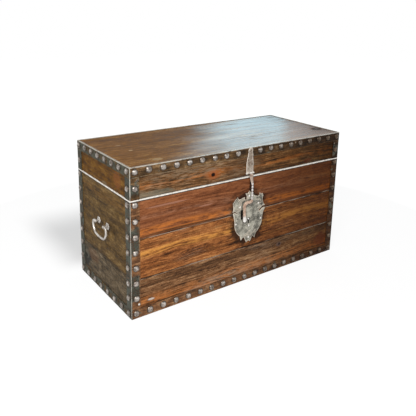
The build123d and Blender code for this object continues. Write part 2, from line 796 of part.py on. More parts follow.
# ---------------------------------------------------------------- lock
def lock_plate():
    """The cut plate: a round shield with horns, crest, spurs and drops, its slot and its keyhole."""
    middle = Plane(origin=(plate_x, -wood_half_depth, plate_level), x_dir=(1, 0, 0), z_dir=(0, -1, 0))
    with BuildPart() as plate:
        with BuildSketch(middle):
            Circle(plate_radius)
            for corners in [plate_head] + plate_drops:
                with BuildLine():
                    Polyline(*corners, close=True)
                make_face()
            for corners in plate_slits:
                with BuildLine():
                    Polyline(*corners, close=True)
                make_face(mode=Mode.SUBTRACT)
            with Locations(((slot_left + slot_right) / 2 - plate_x, (slot_low + slot_high) / 2 - plate_level)):
                Rectangle(slot_right - slot_left, slot_high - slot_low, mode=Mode.SUBTRACT)
            with Locations((keyhole_x - plate_x, keyhole_rise)):
                Circle(keyhole_radius, mode=Mode.SUBTRACT)
            with Locations((keyhole_x - plate_x, keyhole_rise - keyhole_drop / 2)):
                Rectangle(keyhole_slot, keyhole_drop, mode=Mode.SUBTRACT)
        extrude(amount=plate_iron)
        drill(plate, base_smalls)
    save(plate, "lock_plate")


def lock_case():
    """The sheet iron box behind the plate, with the drill pin and the two guides of the bolt."""
    width = case_right - case_left
    height = case_high - case_low
    middle = ((case_left + case_right) / 2, (case_low + case_high) / 2)
    floor = FRONT_WOOD.offset(-case_depth)
    left_guide = bolt_left + guide_iron
    right_guide = bolt_left + bolt_length - bolt_travel - guide_iron
    with BuildPart() as case:
        with BuildSketch(floor):
            with Locations(middle):
                Rectangle(width, height)
        extrude(amount=case_depth)
        with BuildSketch(floor.offset(case_iron)):
            with Locations(middle):
                Rectangle(width - 2 * case_iron, height - 2 * case_iron)
        extrude(amount=case_depth, mode=Mode.SUBTRACT)
        with BuildSketch(floor):
            with Locations((keyhole_x, keyhole_height)):
                Circle(drill_pin_radius)
        extrude(amount=case_depth + plate_iron - drill_pin_shy)
        with BuildSketch(floor):
            with Locations((left_guide, bolt_z), (right_guide, bolt_z)):
                Rectangle(guide_iron, guide_tall)
        extrude(amount=case_depth - bolt_room)
        with BuildSketch(Plane.YZ.offset(left_guide - guide_iron)):
            with Locations((bolt_y, bolt_z)):
                Rectangle(bolt_iron + 2 * bolt_room, bolt_tall + 2 * bolt_room)
        extrude(amount=right_guide - left_guide + 2 * guide_iron, mode=Mode.SUBTRACT)
    save(case, "lock_case")


def lock_bolt():
    """The sliding bolt, shown withdrawn, with the talon notch that a key pushes on."""
    with BuildPart() as bolt:
        with BuildSketch(Plane.YZ.offset(bolt_left)):
            with Locations((bolt_y, bolt_z)):
                Rectangle(bolt_iron, bolt_tall)
        extrude(amount=bolt_length)
        with BuildSketch(FRONT_WOOD):
            with Locations((keyhole_x, bolt_z - bolt_tall / 2 + talon_depth / 2)):
                Rectangle(talon_width, talon_depth)
        extrude(amount=-case_depth, mode=Mode.SUBTRACT)
    save(bolt, "lock_bolt")


# ---------------------------------------------------------------- side handles
def bail(name, x):
    """A bent rod: pins turned in through the eyes, sloping sides and a straight grip."""
    pin_end = eye_spread - eye_length / 2 - bail_pin_tip
    rod_start = eye_spread + eye_length / 2 + bail_side_room
    half = [(rod_start, 0.0)] + bail_outline
    corners = half + [(-across, drop) for across, drop in reversed(half)]
    with BuildPart() as rod:
        with BuildLine(Plane.YZ.offset(x)) as line:
            FilletPolyline(*[(across, handle_height + drop) for across, drop in corners], radius=bail_bend)
        with BuildSketch(Plane(origin=line.line @ 0, z_dir=line.line % 0)):
            Circle(bail_radius)
        sweep(path=line.line)
        for start in (pin_end, -rod_start):
            with BuildSketch(Plane(origin=(x, start, handle_height), z_dir=(0, 1, 0))):
                Circle(bail_pin_radius)
            extrude(amount=rod_start - pin_end)
    save(rod, name)


def handle_posts():
    """Four posts: an eye outside, a shank through the wall and its two ends clenched inside."""
    with BuildPart() as posts:
        for outward in (-1, 1):
            for along in (-eye_spread, eye_spread):
                with BuildSketch(Plane(origin=(outward * handle_x, along - eye_length / 2, handle_height),
                                       z_dir=(0, 1, 0))):
                    Circle(eye_radius)
                extrude(amount=eye_length)
                with BuildSketch(Plane(origin=(outward * inner_half_width, along, handle_height),
                                       z_dir=(outward, 0, 0))):
                    Circle(post_radius)
                extrude(amount=handle_x - inner_half_width)
                with BuildSketch(Plane(origin=(outward * inner_half_width, along, handle_height),
                                       x_dir=(0, 1, 0), z_dir=(-outward, 0, 0))):
                    Rectangle(clench_width, clench_length)
                extrude(amount=clench_iron)
                with BuildSketch(Plane(origin=(outward * handle_x, along - eye_length / 2, handle_height),
                                       z_dir=(0, 1, 0))):
                    Circle(bail_pin_radius + pin_clearance)
                extrude(amount=eye_length, mode=Mode.SUBTRACT)
    save(posts, "handle_posts")


def handle_rosettes():
    """Four petalled washers under the eyes."""
    with BuildPart() as rosettes:
        for face in ("left", "right"):
            for along in (-eye_spread, eye_spread):
                wall = FACES[face].offset(-iron)
                plane = Plane(origin=wall.from_local_coords((along, handle_height, 0)),
                              x_dir=wall.x_dir, z_dir=wall.z_dir)
                with BuildSketch(plane):
                    Circle(rosette_core)
                    with PolarLocations(petal_ring, petal_count):
                        Circle(petal_radius)
                    Circle(post_radius + nail_clearance, mode=Mode.SUBTRACT)
                extrude(amount=rosette_iron)
    save(rosettes, "handle_rosettes")


base_walls()
floor_boards()
lid_boards()
corner_angles()
bottom_strips()
rim_strips()
edge_straps()
hinges()
nail_group("base_dome_nails", base_domes)
nail_group("lid_dome_nails", lid_domes)
nail_group("base_small_nails", base_smalls)
nail_group("lid_small_nails", lid_smalls)
hasp_strap()
hasp_pin()
hasp_arm()
hasp_staple()
lock_plate()
lock_case()
lock_bolt()
bail("left_handle_bail", -handle_x)
bail("right_handle_bail", handle_x)
handle_posts()
handle_rosettes()
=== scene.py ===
# %% [markdown]
# # A strapped plank chest
#
# This lesson dresses a low wooden trunk: wide old planks bound with iron straps, rows of hammered dome nails,
# a forged hasp over a cut lock plate and a bail handle at each end. The construction arrives finished, as a frame
# of solids in metres with +Z up. Here each surface gets the finish that age and handling gave it, and the pieces
# that a smith shaped by hand get a hand-made form.

# %% Load the frame
import json
import math

import bmesh
import bpy
import numpy as np
from mathutils import Matrix, Vector


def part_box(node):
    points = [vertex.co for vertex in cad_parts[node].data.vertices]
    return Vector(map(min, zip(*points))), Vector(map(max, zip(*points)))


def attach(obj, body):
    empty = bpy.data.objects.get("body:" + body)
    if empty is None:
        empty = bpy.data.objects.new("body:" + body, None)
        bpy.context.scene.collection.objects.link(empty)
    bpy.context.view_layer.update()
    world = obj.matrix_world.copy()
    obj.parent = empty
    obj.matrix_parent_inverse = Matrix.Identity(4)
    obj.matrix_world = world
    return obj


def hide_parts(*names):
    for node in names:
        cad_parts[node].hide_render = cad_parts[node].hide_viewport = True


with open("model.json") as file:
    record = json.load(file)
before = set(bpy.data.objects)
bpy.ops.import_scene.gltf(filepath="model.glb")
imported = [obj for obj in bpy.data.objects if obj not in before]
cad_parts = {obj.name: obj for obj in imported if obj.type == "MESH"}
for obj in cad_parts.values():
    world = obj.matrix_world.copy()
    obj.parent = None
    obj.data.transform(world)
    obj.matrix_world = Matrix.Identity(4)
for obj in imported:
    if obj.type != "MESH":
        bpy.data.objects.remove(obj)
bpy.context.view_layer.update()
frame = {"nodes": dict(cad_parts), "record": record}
nodes = frame["nodes"]
joints = {joint["name"]: joint for joint in frame["record"]["behaviour"]["joints"]}

# %% [markdown]
# ## The sizes that everything follows
#
# A finish follows the wood: cracks lie on the seams and wear lies on the edges. So the levels of the seams, the rim
# and the straps are read from the frame once, and every later cell uses these names. Lengths are in metres. A small
# one is written as a number times mm.

# %% Read the main sizes from the frame
mm = 0.001
strap_box, plank_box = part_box("lid_edge_strap_front"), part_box("base_front_plank_top")
half_width, half_depth = strap_box[1].x, -strap_box[0].y
strap_low, lid_top = strap_box[0].z, strap_box[1].z
wood_half_width, wood_half_depth = plank_box[1].x, -plank_box[0].y
iron = half_width - wood_half_width
lower_seam, upper_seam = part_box("base_front_plank_middle")[0].z, plank_box[0].z
side_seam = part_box("base_left_plank_top")[0].z
rim_high, lid_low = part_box("base_rim_strip_front")[1].z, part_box("lid_front_rail")[0].z
hasp_pin = joints["hasp_swing"]["pos_m"]
print("half width", half_width, "half depth", half_depth, "top", lid_top, "seams", lower_seam, upper_seam)

# %% [markdown]
# ## Arithmetic on shader sockets
#
# A procedural finish is mostly arithmetic: masks are added, multiplied and compared. Wiring Math nodes by hand hides
# the sum in a tangle, so the small class below wraps a socket and lets Python's operators add the nodes. The second
# class holds one material and adds any other node from its type, its settings and its sockets.

# %% A number socket that does arithmetic
class Mask:
    """A number that varies over a surface. Its operators add Math nodes to the material."""

    def __init__(self, tree, socket):
        self.tree, self.socket = tree, socket

    def maths(self, operation, *values):
        node = self.tree.nodes.new("ShaderNodeMath")
        node.operation = operation
        for target, value in zip(node.inputs, values):
            plug(self.tree, target, value)
        return Mask(self.tree, node.outputs[0])

    def __abs__(self):
        return self.maths("ABSOLUTE", self)

    def most(self, other):
        return self.maths("MAXIMUM", self, other)

    def root(self):
        return self.maths("SQRT", self)

    def bell(self):
        """1 where the mask is 0, falling off like e^(-m^2) to both sides."""
        square = self ** 2 * -1.0
        return square.maths("EXPONENT", square)

    def between(self, low, high):
        """0 below low, 1 above high and an even S curve between them. With low above high it falls instead."""
        node = self.tree.nodes.new("ShaderNodeMapRange")
        node.interpolation_type = "SMOOTHSTEP"
        for name, value in (("Value", self), ("From Min", low), ("From Max", high)):
            plug(self.tree, node.inputs[name], value)
        return Mask(self.tree, node.outputs[0])


for sign, operation in (("add", "ADD"), ("sub", "SUBTRACT"), ("mul", "MULTIPLY"), ("truediv", "DIVIDE"),
                        ("pow", "POWER")):
    setattr(Mask, f"__{sign}__", lambda self, other, kind=operation: self.maths(kind, self, other))
    setattr(Mask, f"__r{sign}__", lambda self, other, kind=operation: self.maths(kind, other, self))


def plug(tree, target, value):
    """Put a number, a colour, a mask or a socket into a node's input."""
    if isinstance(value, Mask):
        value = value.socket
    if isinstance(value, bpy.types.NodeSocket):
        tree.links.new(value, target)
    else:
        target.default_value = value


def away(u, v, middle, reach=(1.0, 1.0)):
    """Distance of the place (u, v) from a middle, counted in reaches along each of the two."""
    return (((u - middle[0]) / reach[0]) ** 2 + ((v - middle[1]) / reach[1]) ** 2).root()


def rgb(red, green, blue):
    """A colour given as it looks on the screen, 0 to 255 each, turned to the linear light that shaders use."""
    levels = (level / 255 for level in (red, green, blue))
    return (*(level / 12.92 if level <= 0.04045 else ((level + 0.055) / 1.055) ** 2.4 for level in levels), 1.0)


# %% One material and its nodes
coat_roughness = 0.24


class Finish:
    """A material in the making, with the piece's own coordinates in metres as axes."""

    def __init__(self, name):
        self.material = bpy.data.materials.new(name)
        self.material.use_nodes = True
        self.tree = self.material.node_tree
        self.tree.nodes.clear()
        self.shader = self.node("ShaderNodeBsdfPrincipled")
        self.output = self.node("ShaderNodeOutputMaterial", Surface=self.shader.outputs[0])
        self.place = self.node("ShaderNodeTexCoord").outputs["Object"]
        parts = self.node("ShaderNodeSeparateXYZ", Vector=self.place)
        self.x, self.y, self.z = (Mask(self.tree, socket) for socket in parts.outputs)
        self.axes = {"x": self.x, "y": self.y, "z": self.z, "|x|": abs(self.x), "|y|": abs(self.y)}

    def node(self, kind, settings=None, **sockets):
        """Add a node: its settings first, then the values or links of its named sockets."""
        node = self.tree.nodes.new(kind)
        for name, value in (settings or {}).items():
            setattr(node, name, value)
        for name, value in sockets.items():
            plug(self.tree, node.inputs[name], value)
        return node

    def noise(self, vector, scale=1.0, detail=2.0, roughness=0.5):
        """Soft random blotches around 0.5. The vector is a socket or three masks."""
        if isinstance(vector, tuple):
            vector = self.node("ShaderNodeCombineXYZ", **dict(zip("XYZ", vector))).outputs[0]
        made = self.node("ShaderNodeTexNoise", Vector=vector, Scale=scale, Detail=detail, Roughness=roughness)
        return Mask(self.tree, made.outputs[0])

    def cloud_and_grain(self, cloud_scale, grain_scale, detail=4.0, roughness=0.6):
        """The two noises of every iron finish: large clouds and fine grain."""
        return (self.noise(self.place, cloud_scale, detail, roughness),
                self.noise(self.place, grain_scale, 3.0, 0.65))

    def dents(self, scale):
        """Shallow hollows: a smoothed distance to the nearest of many scattered points."""
        made = self.node("ShaderNodeTexVoronoi", {"feature": "SMOOTH_F1"}, Vector=self.place, Scale=scale,
                         Smoothness=0.6)
        return Mask(self.tree, made.outputs["Distance"])

    def stored(self, name):
        """A number that the piece stores on its points."""
        return Mask(self.tree, self.node("ShaderNodeAttribute", {"attribute_name": name}).outputs["Fac"])

    def mix(self, mask, first, second, blend="MIX"):
        """A colour that goes from first, where the mask is 0, to second, where it is 1."""
        made = self.node("ShaderNodeMix", {"data_type": "RGBA", "blend_type": blend})
        plug(self.tree, made.inputs[0], mask)
        for target, colour in zip(made.inputs[6:8], (first, second)):
            plug(self.tree, target, rgb(*colour) if isinstance(colour, tuple) else colour)
        return made.outputs[2]

    def ramp(self, mask, colours, places=(0.12, 0.38, 0.60, 0.88)):
        """A colour read from four colours, dark to light."""
        made = self.node("ShaderNodeValToRGB", Fac=mask)
        elements = made.color_ramp.elements
        while len(elements) < len(places):
            elements.new(0.5)
        for element, place, colour in zip(elements, places, colours):
            element.position, element.color = place, rgb(*colour)
        return made.outputs[0]

    def dress(self, colour, rough, metallic, height, depth, strength=0.6, specular=0.5, coat=0.0):
        """Fill the shader's sockets. Height is a mask in which 1 stands depth metres proud of 0."""
        bump = self.node("ShaderNodeBump", Height=height, Distance=depth, Strength=strength)
        for name, value in (("Base Color", colour), ("Roughness", rough), ("Metallic", metallic),
                            ("Specular IOR Level", specular), ("Coat Weight", coat),
                            ("Coat Roughness", coat_roughness), ("Normal", bump.outputs[0])):
            plug(self.tree, self.shader.inputs[name], value)
        return self.material


print("shader helpers ready")

# %% [markdown]
# ## Wood
#
# Each plank is its own piece of the tree, so each gets its own grain and stain. Grain is noise that is stretched
# along the plank: wide bands of sapwood and heartwood, streaks inside them, and fine fibres. A knot pushes the
# fibres aside, which is done by bending the coordinate across the grain before any noise reads it.

# %% The wood finish
def wood(name, axes, seed, stain, edges=(), knots=(), swirls=(), bands=(), marks=(), dust=0.7, dark_seam=0.85,
         shade=None, bleach=None, gloss=0.42, specular=0.08, contrast=0.8, mottle=1.0, varnished=False):
    """Stained old wood.

    axes names the directions along the grain, across it and into the board. stain is four colours, dark to light.
    edges are levels across the grain where a seam gathers dust. The rest is in millimetres. knots are
    (along, across, radius), and swirls are knots that only bend the grain. bands are (level, half height, strength,
    colour). marks are ragged patches of the outer face: (along, across, half length, half height, strength, colour).
    shade is (low x, high x, colour at high): darker towards the right, partly a slow stain and partly painted shade
    for the lamp's fall-off. bleach is (strength, colour, share): rubbed streaks where the stain has gone.
    """
    made = Finish(name)
    along, across, depth = (made.axes[letter] for letter in axes)
    outer_face = {"x": wood_half_width, "y": wood_half_depth, "z": lid_top - iron}[axes[2]]
    outside = abs(depth).between(outer_face - 12 * mm, outer_face - 6 * mm)

    def grain(level, stretch, moved, detail=2.0, roughness=0.5):
        """Noise stretched by three factors. moved holds a 1 for each coordinate that the seed moves."""
        places = (place * factor + seed * 3.7 * move
                  for place, factor, move in zip((along, level, depth), stretch, moved))
        return made.noise(tuple(places), 1.0, detail, roughness)

    drift = grain(across, (1.6, 3.0, 3.0), (1, 0, 0))
    flow = across + (drift - 0.5) * 0.035
    for place, level, radius in [*knots, *swirls]:
        push = (away(along, across, (place * mm, level * mm), (1 / 0.45, 1)) / (radius * mm * 2.2)).bell()
        flow = flow - (across - level * mm) * push * 0.75
    wide = grain(flow, (1.2, 24.0, 9.0), (1, 0, 1))
    streak = grain(flow, (4.0, 120.0, 40.0), (1, 0, 0), 4.0, 0.62)
    line = grain(flow, (8.0, 210.0, 60.0), (1, 1, 0), 2.0, 0.55)
    dash = grain(flow, (34.0, 320.0, 120.0), (0, 1, 0), 2.0, 0.6)
    blotch = grain(across, (26.0, 46.0, 46.0), (0, 1, 0), 4.0, 0.68)
    fibre = grain(flow, (50.0, 900.0, 400.0), (1, 0, 0), 2.0, 0.6)
    speck = made.noise(made.place, 330.0, 2.0, 0.6)
    latewood = line.between(0.47, 0.36)
    tone = (wide - 0.5) * 1.1 + (streak - 0.5) * 1.0 + (dash - 0.5) * 0.9 + (blotch - 0.5) * 0.9 * mottle
    tone = tone + (fibre - 0.5) * 0.4 + (speck - 0.5) * 0.8 * mottle - latewood * 0.22
    tone = tone + line.between(0.54, 0.64) * 0.14
    colour = made.ramp(tone * contrast + 0.5, stain)
    for level, half, strength, band_colour in bands:
        near = (abs(flow - level * mm) / (half * mm)).between(1.0, 0.25)
        colour = made.mix(near * (streak * 0.6 + blotch * 0.4).between(0.40, 0.58) * strength, colour, band_colour)
    for place, level, long, tall, strength, mark_colour in marks:
        far = away(along, across, (place * mm, level * mm), (long * mm, tall * mm)) + (blotch - 0.5) * 1.2
        colour = made.mix(far.between(1.25, 0.75) * outside * strength, colour, mark_colour)
    if bleach:
        strength, bleach_colour, share = bleach
        patch = grain(across, (2.6, 7.0, 7.0), (1, 0, 1)).between(0.62 - share * 0.3, 0.74 - share * 0.3)
        colour = made.mix(patch * dash.between(0.40, 0.60) * strength, colour, bleach_colour)
    # darker towards the right: partly a stain, partly painted shade for the lamp's fall-off
    if shade:
        low, high, shade_colour = shade
        colour = made.mix(made.x.between(low * mm, high * mm), colour, shade_colour, "MULTIPLY")
    split = grain(flow, (5.0, 210.0, 60.0), (1, 1, 0)).between(0.66, 0.72) * blotch.between(0.42, 0.60)
    pore = dash.between(0.40, 0.30) * (0.45 * contrast)
    colour = made.mix((split * 0.7).most(pore), colour, (36, 22, 13))
    for place, level, radius in knots:
        far = away(along, across, (place * mm, level * mm), (1.25, 1)) + (dash - 0.5) * 0.006
        far = far / (radius * mm)
        colour = made.mix(far.between(1.9, 0.6) * 0.7, colour, (158, 82, 34))
        colour = made.mix(far.between(0.8, 0.45), colour, (26, 14, 9))
    rubbed = grain(across, (6.0, 60.0, 60.0), (1, 0, 0), 3.0, 0.7)
    groove = 0.0
    for level in edges:
        gap = abs(across - level)
        dusty = gap.between(3.0 * mm, 0.8 * mm) * rubbed.between(0.42, 0.56)
        colour = made.mix(dusty * dust, colour, (176, 164, 148))
        sooty = gap.between(8.0 * mm, 2.0 * mm) * rubbed.between(0.56, 0.42)
        colour = made.mix(sooty * dark_seam, colour, (30, 19, 12))
        groove = gap.between(3.0 * mm, 0.0) + groove
    rough = streak * 0.25 + dash * 0.25 + (gloss - 0.2)
    height = fibre * 0.2 + streak * 0.5 + dash * 0.35 - latewood * 0.35 - split * 0.9 - pore * 0.4 - groove * 0.8
    coat = varnish(made) * outside if varnished else 0.0
    return made.dress(colour, rough, 0.0, height, 1.4 * mm, 0.7, specular, coat)


print("wood finish ready")

# %% [markdown]
# ## Dress the boards
#
# The front's three planks came from different trees: dark mahogany red on top, bright orange brown in the middle and
# a plank with a dark upper half at the foot. Their order is part of the chest's face, so each plank gets its own
# stain. The other walls use the same recipe with browner stains and other seeds.

# %% Stains, from dark to light
red = ((54, 28, 15), (118, 68, 40), (154, 96, 60), (196, 142, 100))
orange_brown = ((60, 34, 18), (134, 80, 42), (178, 114, 62), (218, 164, 104))
foot_brown = ((44, 30, 20), (98, 66, 42), (138, 96, 62), (188, 150, 110))
lid_brown = ((36, 24, 14), (86, 58, 32), (126, 86, 50), (190, 152, 108))
side_brown = ((30, 20, 9), (74, 54, 24), (104, 78, 38), (156, 128, 82))
low_side_brown = ((30, 24, 15), (71, 59, 41), (99, 82, 59), (144, 128, 104))
ochre = ((36, 20, 4), (74, 46, 6), (106, 68, 12), (156, 118, 54))
top_brown = ((42, 23, 6), (97, 61, 18), (131, 86, 30), (196, 156, 92))
inside_brown = ((70, 48, 30), (112, 82, 54), (140, 106, 72), (168, 136, 98))
golden, orange, dark_brown = (222, 154, 74), (200, 118, 52), (52, 34, 20)
weathered, rubbed_red, painted_shadow_and_grime = (172, 154, 134), (186, 136, 112), (30, 21, 14)
LYING, SIDE, FLAT = "xzy", "yzx", "xyz"  # how a plank's length, height and thickness lie: front or back, side, top
print("stains ready")

# %% The front's planks
finishes = {
    "base_front_plank_top": wood(
        "mahogany plank", LYING, 1, red, edges=[upper_seam], contrast=0.45, swirls=[(-55, 405, 16), (300, 370, 14)],
        bands=[(318, 22, 0.9, orange), (372, 12, 0.5, (164, 118, 92)), (352, 8, 0.5, (88, 46, 30)),
               (303, 6, 0.8, dark_brown)],
        # (6, 318) is a dark halo round the lock plate, partly grime and partly the plate's painted shadow; (14, 392)
        # is the painted shadow of the hasp's rod
        marks=[(6, 318, 96, 66, 0.85, painted_shadow_and_grime), (14, 392, 5, 54, 0.9, painted_shadow_and_grime), (-360, 404, 90, 3.5, 0.5, rubbed_red),
               (-200, 365, 30, 3, 0.5, rubbed_red)],
        shade=(-200, 480, (156, 142, 104)), bleach=(0.35, weathered, 0.1)),
    "base_front_plank_middle": wood(
        "orange plank", LYING, 2, orange_brown, edges=[upper_seam, lower_seam], contrast=0.7,
        swirls=[(-330, 210, 12)],
        bands=[(238, 20, 0.8, golden), (182, 10, 0.5, dark_brown), (268, 8, 0.5, dark_brown)],
        # a dark halo round the lock plate, partly grime and partly the plate's painted shadow
        marks=[(6, 252, 92, 92, 0.85, painted_shadow_and_grime)],
        shade=(-200, 450, (148, 136, 112)), bleach=(0.35, weathered, 0.1)),
    "base_front_plank_bottom": wood(
        "foot plank", LYING, 3, foot_brown, edges=[lower_seam],
        swirls=[(441, 73, 12), (-72, 55, 8), (185, 112, 9)],
        bands=[(124, 18, 0.55, dark_brown), (54, 34, 0.55, orange)],
        marks=[(441, 73, 40, 30, 0.55, (120, 52, 24)), (-430, 57, 14, 4, 0.9, (206, 198, 188)),
               (-200, 149, 50, 5, 0.5, (168, 156, 138)), (183, 111, 14, 11, 0.7, (116, 96, 92)),
               (186, 113, 5, 6, 0.9, (40, 26, 22))],
        shade=(-180, 550, (160, 142, 106)), bleach=(0.35, weathered, 0.3)),
    "lid_front_rail": wood(
        "lid front", LYING, 4, lid_brown, knots=[(-168, 478, 12)], contrast=0.65, bands=[(482, 16, 0.45, orange)],
        marks=[(-420, 452, 90, 12, 0.6, (122, 116, 98)), (-20, 480, 100, 45, 0.50, (84, 56, 34)),
               (-168, 478, 36, 20, 0.5, (160, 88, 40)), (325, 455, 22, 10, 0.6, (120, 50, 24))],
        shade=(-120, 500, (162, 146, 100)), bleach=(0.45, (150, 136, 114), 0.3)),
}
print(len(finishes), "front finishes")

# %% The other walls
for wall, seed in (("left", 10), ("right", 14)):
    finishes[f"base_{wall}_plank_top"] = wood(
        f"{wall} upper plank", SIDE, seed, side_brown, edges=[side_seam], dust=0.2, dark_seam=0.3, contrast=0.46,
        mottle=2.4, bands=[(400, 30, 0.5, (122, 84, 38))])
    finishes[f"base_{wall}_plank_bottom"] = wood(
        f"{wall} lower plank", SIDE, seed + 1, low_side_brown, edges=[side_seam], dust=0.2, dark_seam=0.3,
        contrast=0.55, mottle=2.6, bleach=(0.3, (132, 118, 94), 0.3),
        marks=[(168, 92, 44, 40, 0.95, (38, 38, 33)), (164, 96, 20, 18, 0.8, (86, 82, 70)),
               (172, 90, 11, 10, 0.9, (20, 18, 14)), (100, 115, 50, 25, 0.4, (112, 78, 52))])
    finishes[f"lid_{wall}_rail"] = wood(
        f"lid {wall}", SIDE, seed + 2, ochre, contrast=0.5, mottle=2.0,
        marks=[(-125, 492, 30, 30, 0.6, (132, 78, 34)), (-20, 450, 20, 6, 0.5, (124, 114, 90))])
for level, seed in (("top", 20), ("middle", 21), ("bottom", 22)):
    finishes[f"base_back_plank_{level}"] = wood(f"back {level} plank", LYING, seed, lid_brown,
                                                edges=[lower_seam, upper_seam], bleach=(0.5, weathered, 0.3))
finishes["lid_back_rail"] = wood("lid back", LYING, 23, lid_brown)
print(len(finishes), "finishes with the other walls")

# %% [markdown]
# ## The varnished top
#
# The top was varnished, and the varnish has lasted best towards the right, where it mirrors whatever is bright. So
# the coat's weight grows from left to right. It is broken by scratches along the grain and by a few cracks, and it
# is dull round a knot, while its roughness stays one number on the shader's socket.

# %% The varnish
top_knot = (474, -119)
cracks = [(199, 148, 40, 7), (133, -84, 26, 5), (108, -112, 22, 4), (471, 177, 26, 7),
          (20, 50, 30, 3)]  # x, y, half length and half width in millimetres


def varnish(made):
    """How much coat the top carries: none at the left, most right of the middle, less in scratches and cracks."""
    scratch = made.noise((made.x * 3.0, made.y * 130.0, 0.0), 1.0, 3.0, 0.6)
    patch = made.noise((made.x * 4.0, made.y * 9.0, 0.0))
    lasting = made.x - made.y * 0.85 + (patch - 0.5) * 0.25
    coat = lasting.between(-0.20, 0.12) * ((made.x - made.y * 0.5).between(0.60, 0.36) * 0.5 + 0.5)
    coat = coat * ((made.x + made.y * 0.6).between(0.62, 0.34) * 0.16 + 0.84)
    knot = away(made.x, made.y, (top_knot[0] * mm, top_knot[1] * mm), (1.25, 1)) + (patch - 0.5) * 0.01
    kept = abs(knot - 14 * mm).between(4 * mm, 10 * mm) * (knot.between(16 * mm, 40 * mm) * 0.4 + 0.6)
    for x, y, long, wide in cracks:
        far = away(made.x, made.y, (x * mm, y * mm), (long * mm, wide * mm)) + (scratch - 0.5) * 1.4
        kept = kept * (far.between(0.6, 1.4) * 0.6 + 0.4)
    return coat * (scratch.between(0.34, 0.50) * 0.45 + 0.55) * kept


def paint(name, material):
    """Give a node of the frame one material."""
    nodes[name].data.materials.clear()
    nodes[name].data.materials.append(material)


for number in (1, 2, 3):
    finishes[f"lid_top_board_{number}"] = wood(
        f"top board {number}", FLAT, 29, top_brown, contrast=0.55, mottle=1.1,
        swirls=[(*top_knot, 14)] if number == 1 else [],
        marks=[(*top_knot, 22, 20, 0.8, (34, 30, 28)), (*top_knot, 10, 8, 0.9, (96, 90, 84)),
               (-376, -170, 20, 12, 0.7, (178, 152, 112)), (-300, -195, 60, 14, 0.5, (84, 60, 34)),
               (-400, -20, 9, 6, 0.8, (200, 174, 134)), (-410, 68, 12, 6, 0.6, (176, 148, 112))],
        shade=(100, 520, (176, 166, 156)), bleach=(0.55, (190, 172, 142), 0.05), varnished=True, specular=0.04)
floor_wood = wood("floor boards", FLAT, 40, inside_brown, gloss=0.6)
finishes.update({f"floor_board_{number}": floor_wood for number in (1, 2, 3)})
for name, material in finishes.items():
    paint(name, material)
print(len(finishes), "boards dressed")

# %% [markdown]
# ## Iron
#
# The straps were stained over together with the wood, so most of their face is a thin brown glaze and the bare dark
# metal shows in patches. Every fold and edge that hands and cloth rub is worn bright, and the bright on the folds
# is also a painted highlight.

# %% The iron finish
def iron_finish(name, bare, worn, metallic=0.8, rough=0.5, dents=180.0, pale=None, dark=None):
    """Forged iron: bare and worn are its dark and rubbed colours, mixed by clouds and grain.

    pale is the colour of rubbed edges, where the piece's edge number is 1, and dark that of grease in its grooves;
    on the lock plate dark also paints the shadow beside the hasp's bar.
    """
    made = Finish(name)
    cloud, grain = made.cloud_and_grain(38.0, 420.0)
    colour = made.mix((cloud * 0.6 + grain * 0.4).between(0.40, 0.64), bare, worn)
    if pale:
        colour = made.mix(made.stored("edge") * (cloud * 0.5 + grain * 0.5).between(0.36, 0.48) * 0.9, colour, pale)
    if dark:
        colour = made.mix(made.stored("groove") * 0.9, colour, dark)
    return made.dress(colour, grain * 0.25 + cloud * 0.2 + (rough - 0.22), metallic,
                      made.dents(dents) * 0.8 + grain * 0.2, 0.6 * mm)


# %% [markdown]
# ## Stained straps
#
# The straps lie under the same brown stain as the planks, dragged on with the grain, so from a step away they look
# like wood. Where hands, boots and other trunks rubbed, bare dark iron shows. One finish mixes the two by a mask that
# is high in a few chosen places. The stain's streaks run along each strap's wall, so walls that face sideways read
# Y instead of X.

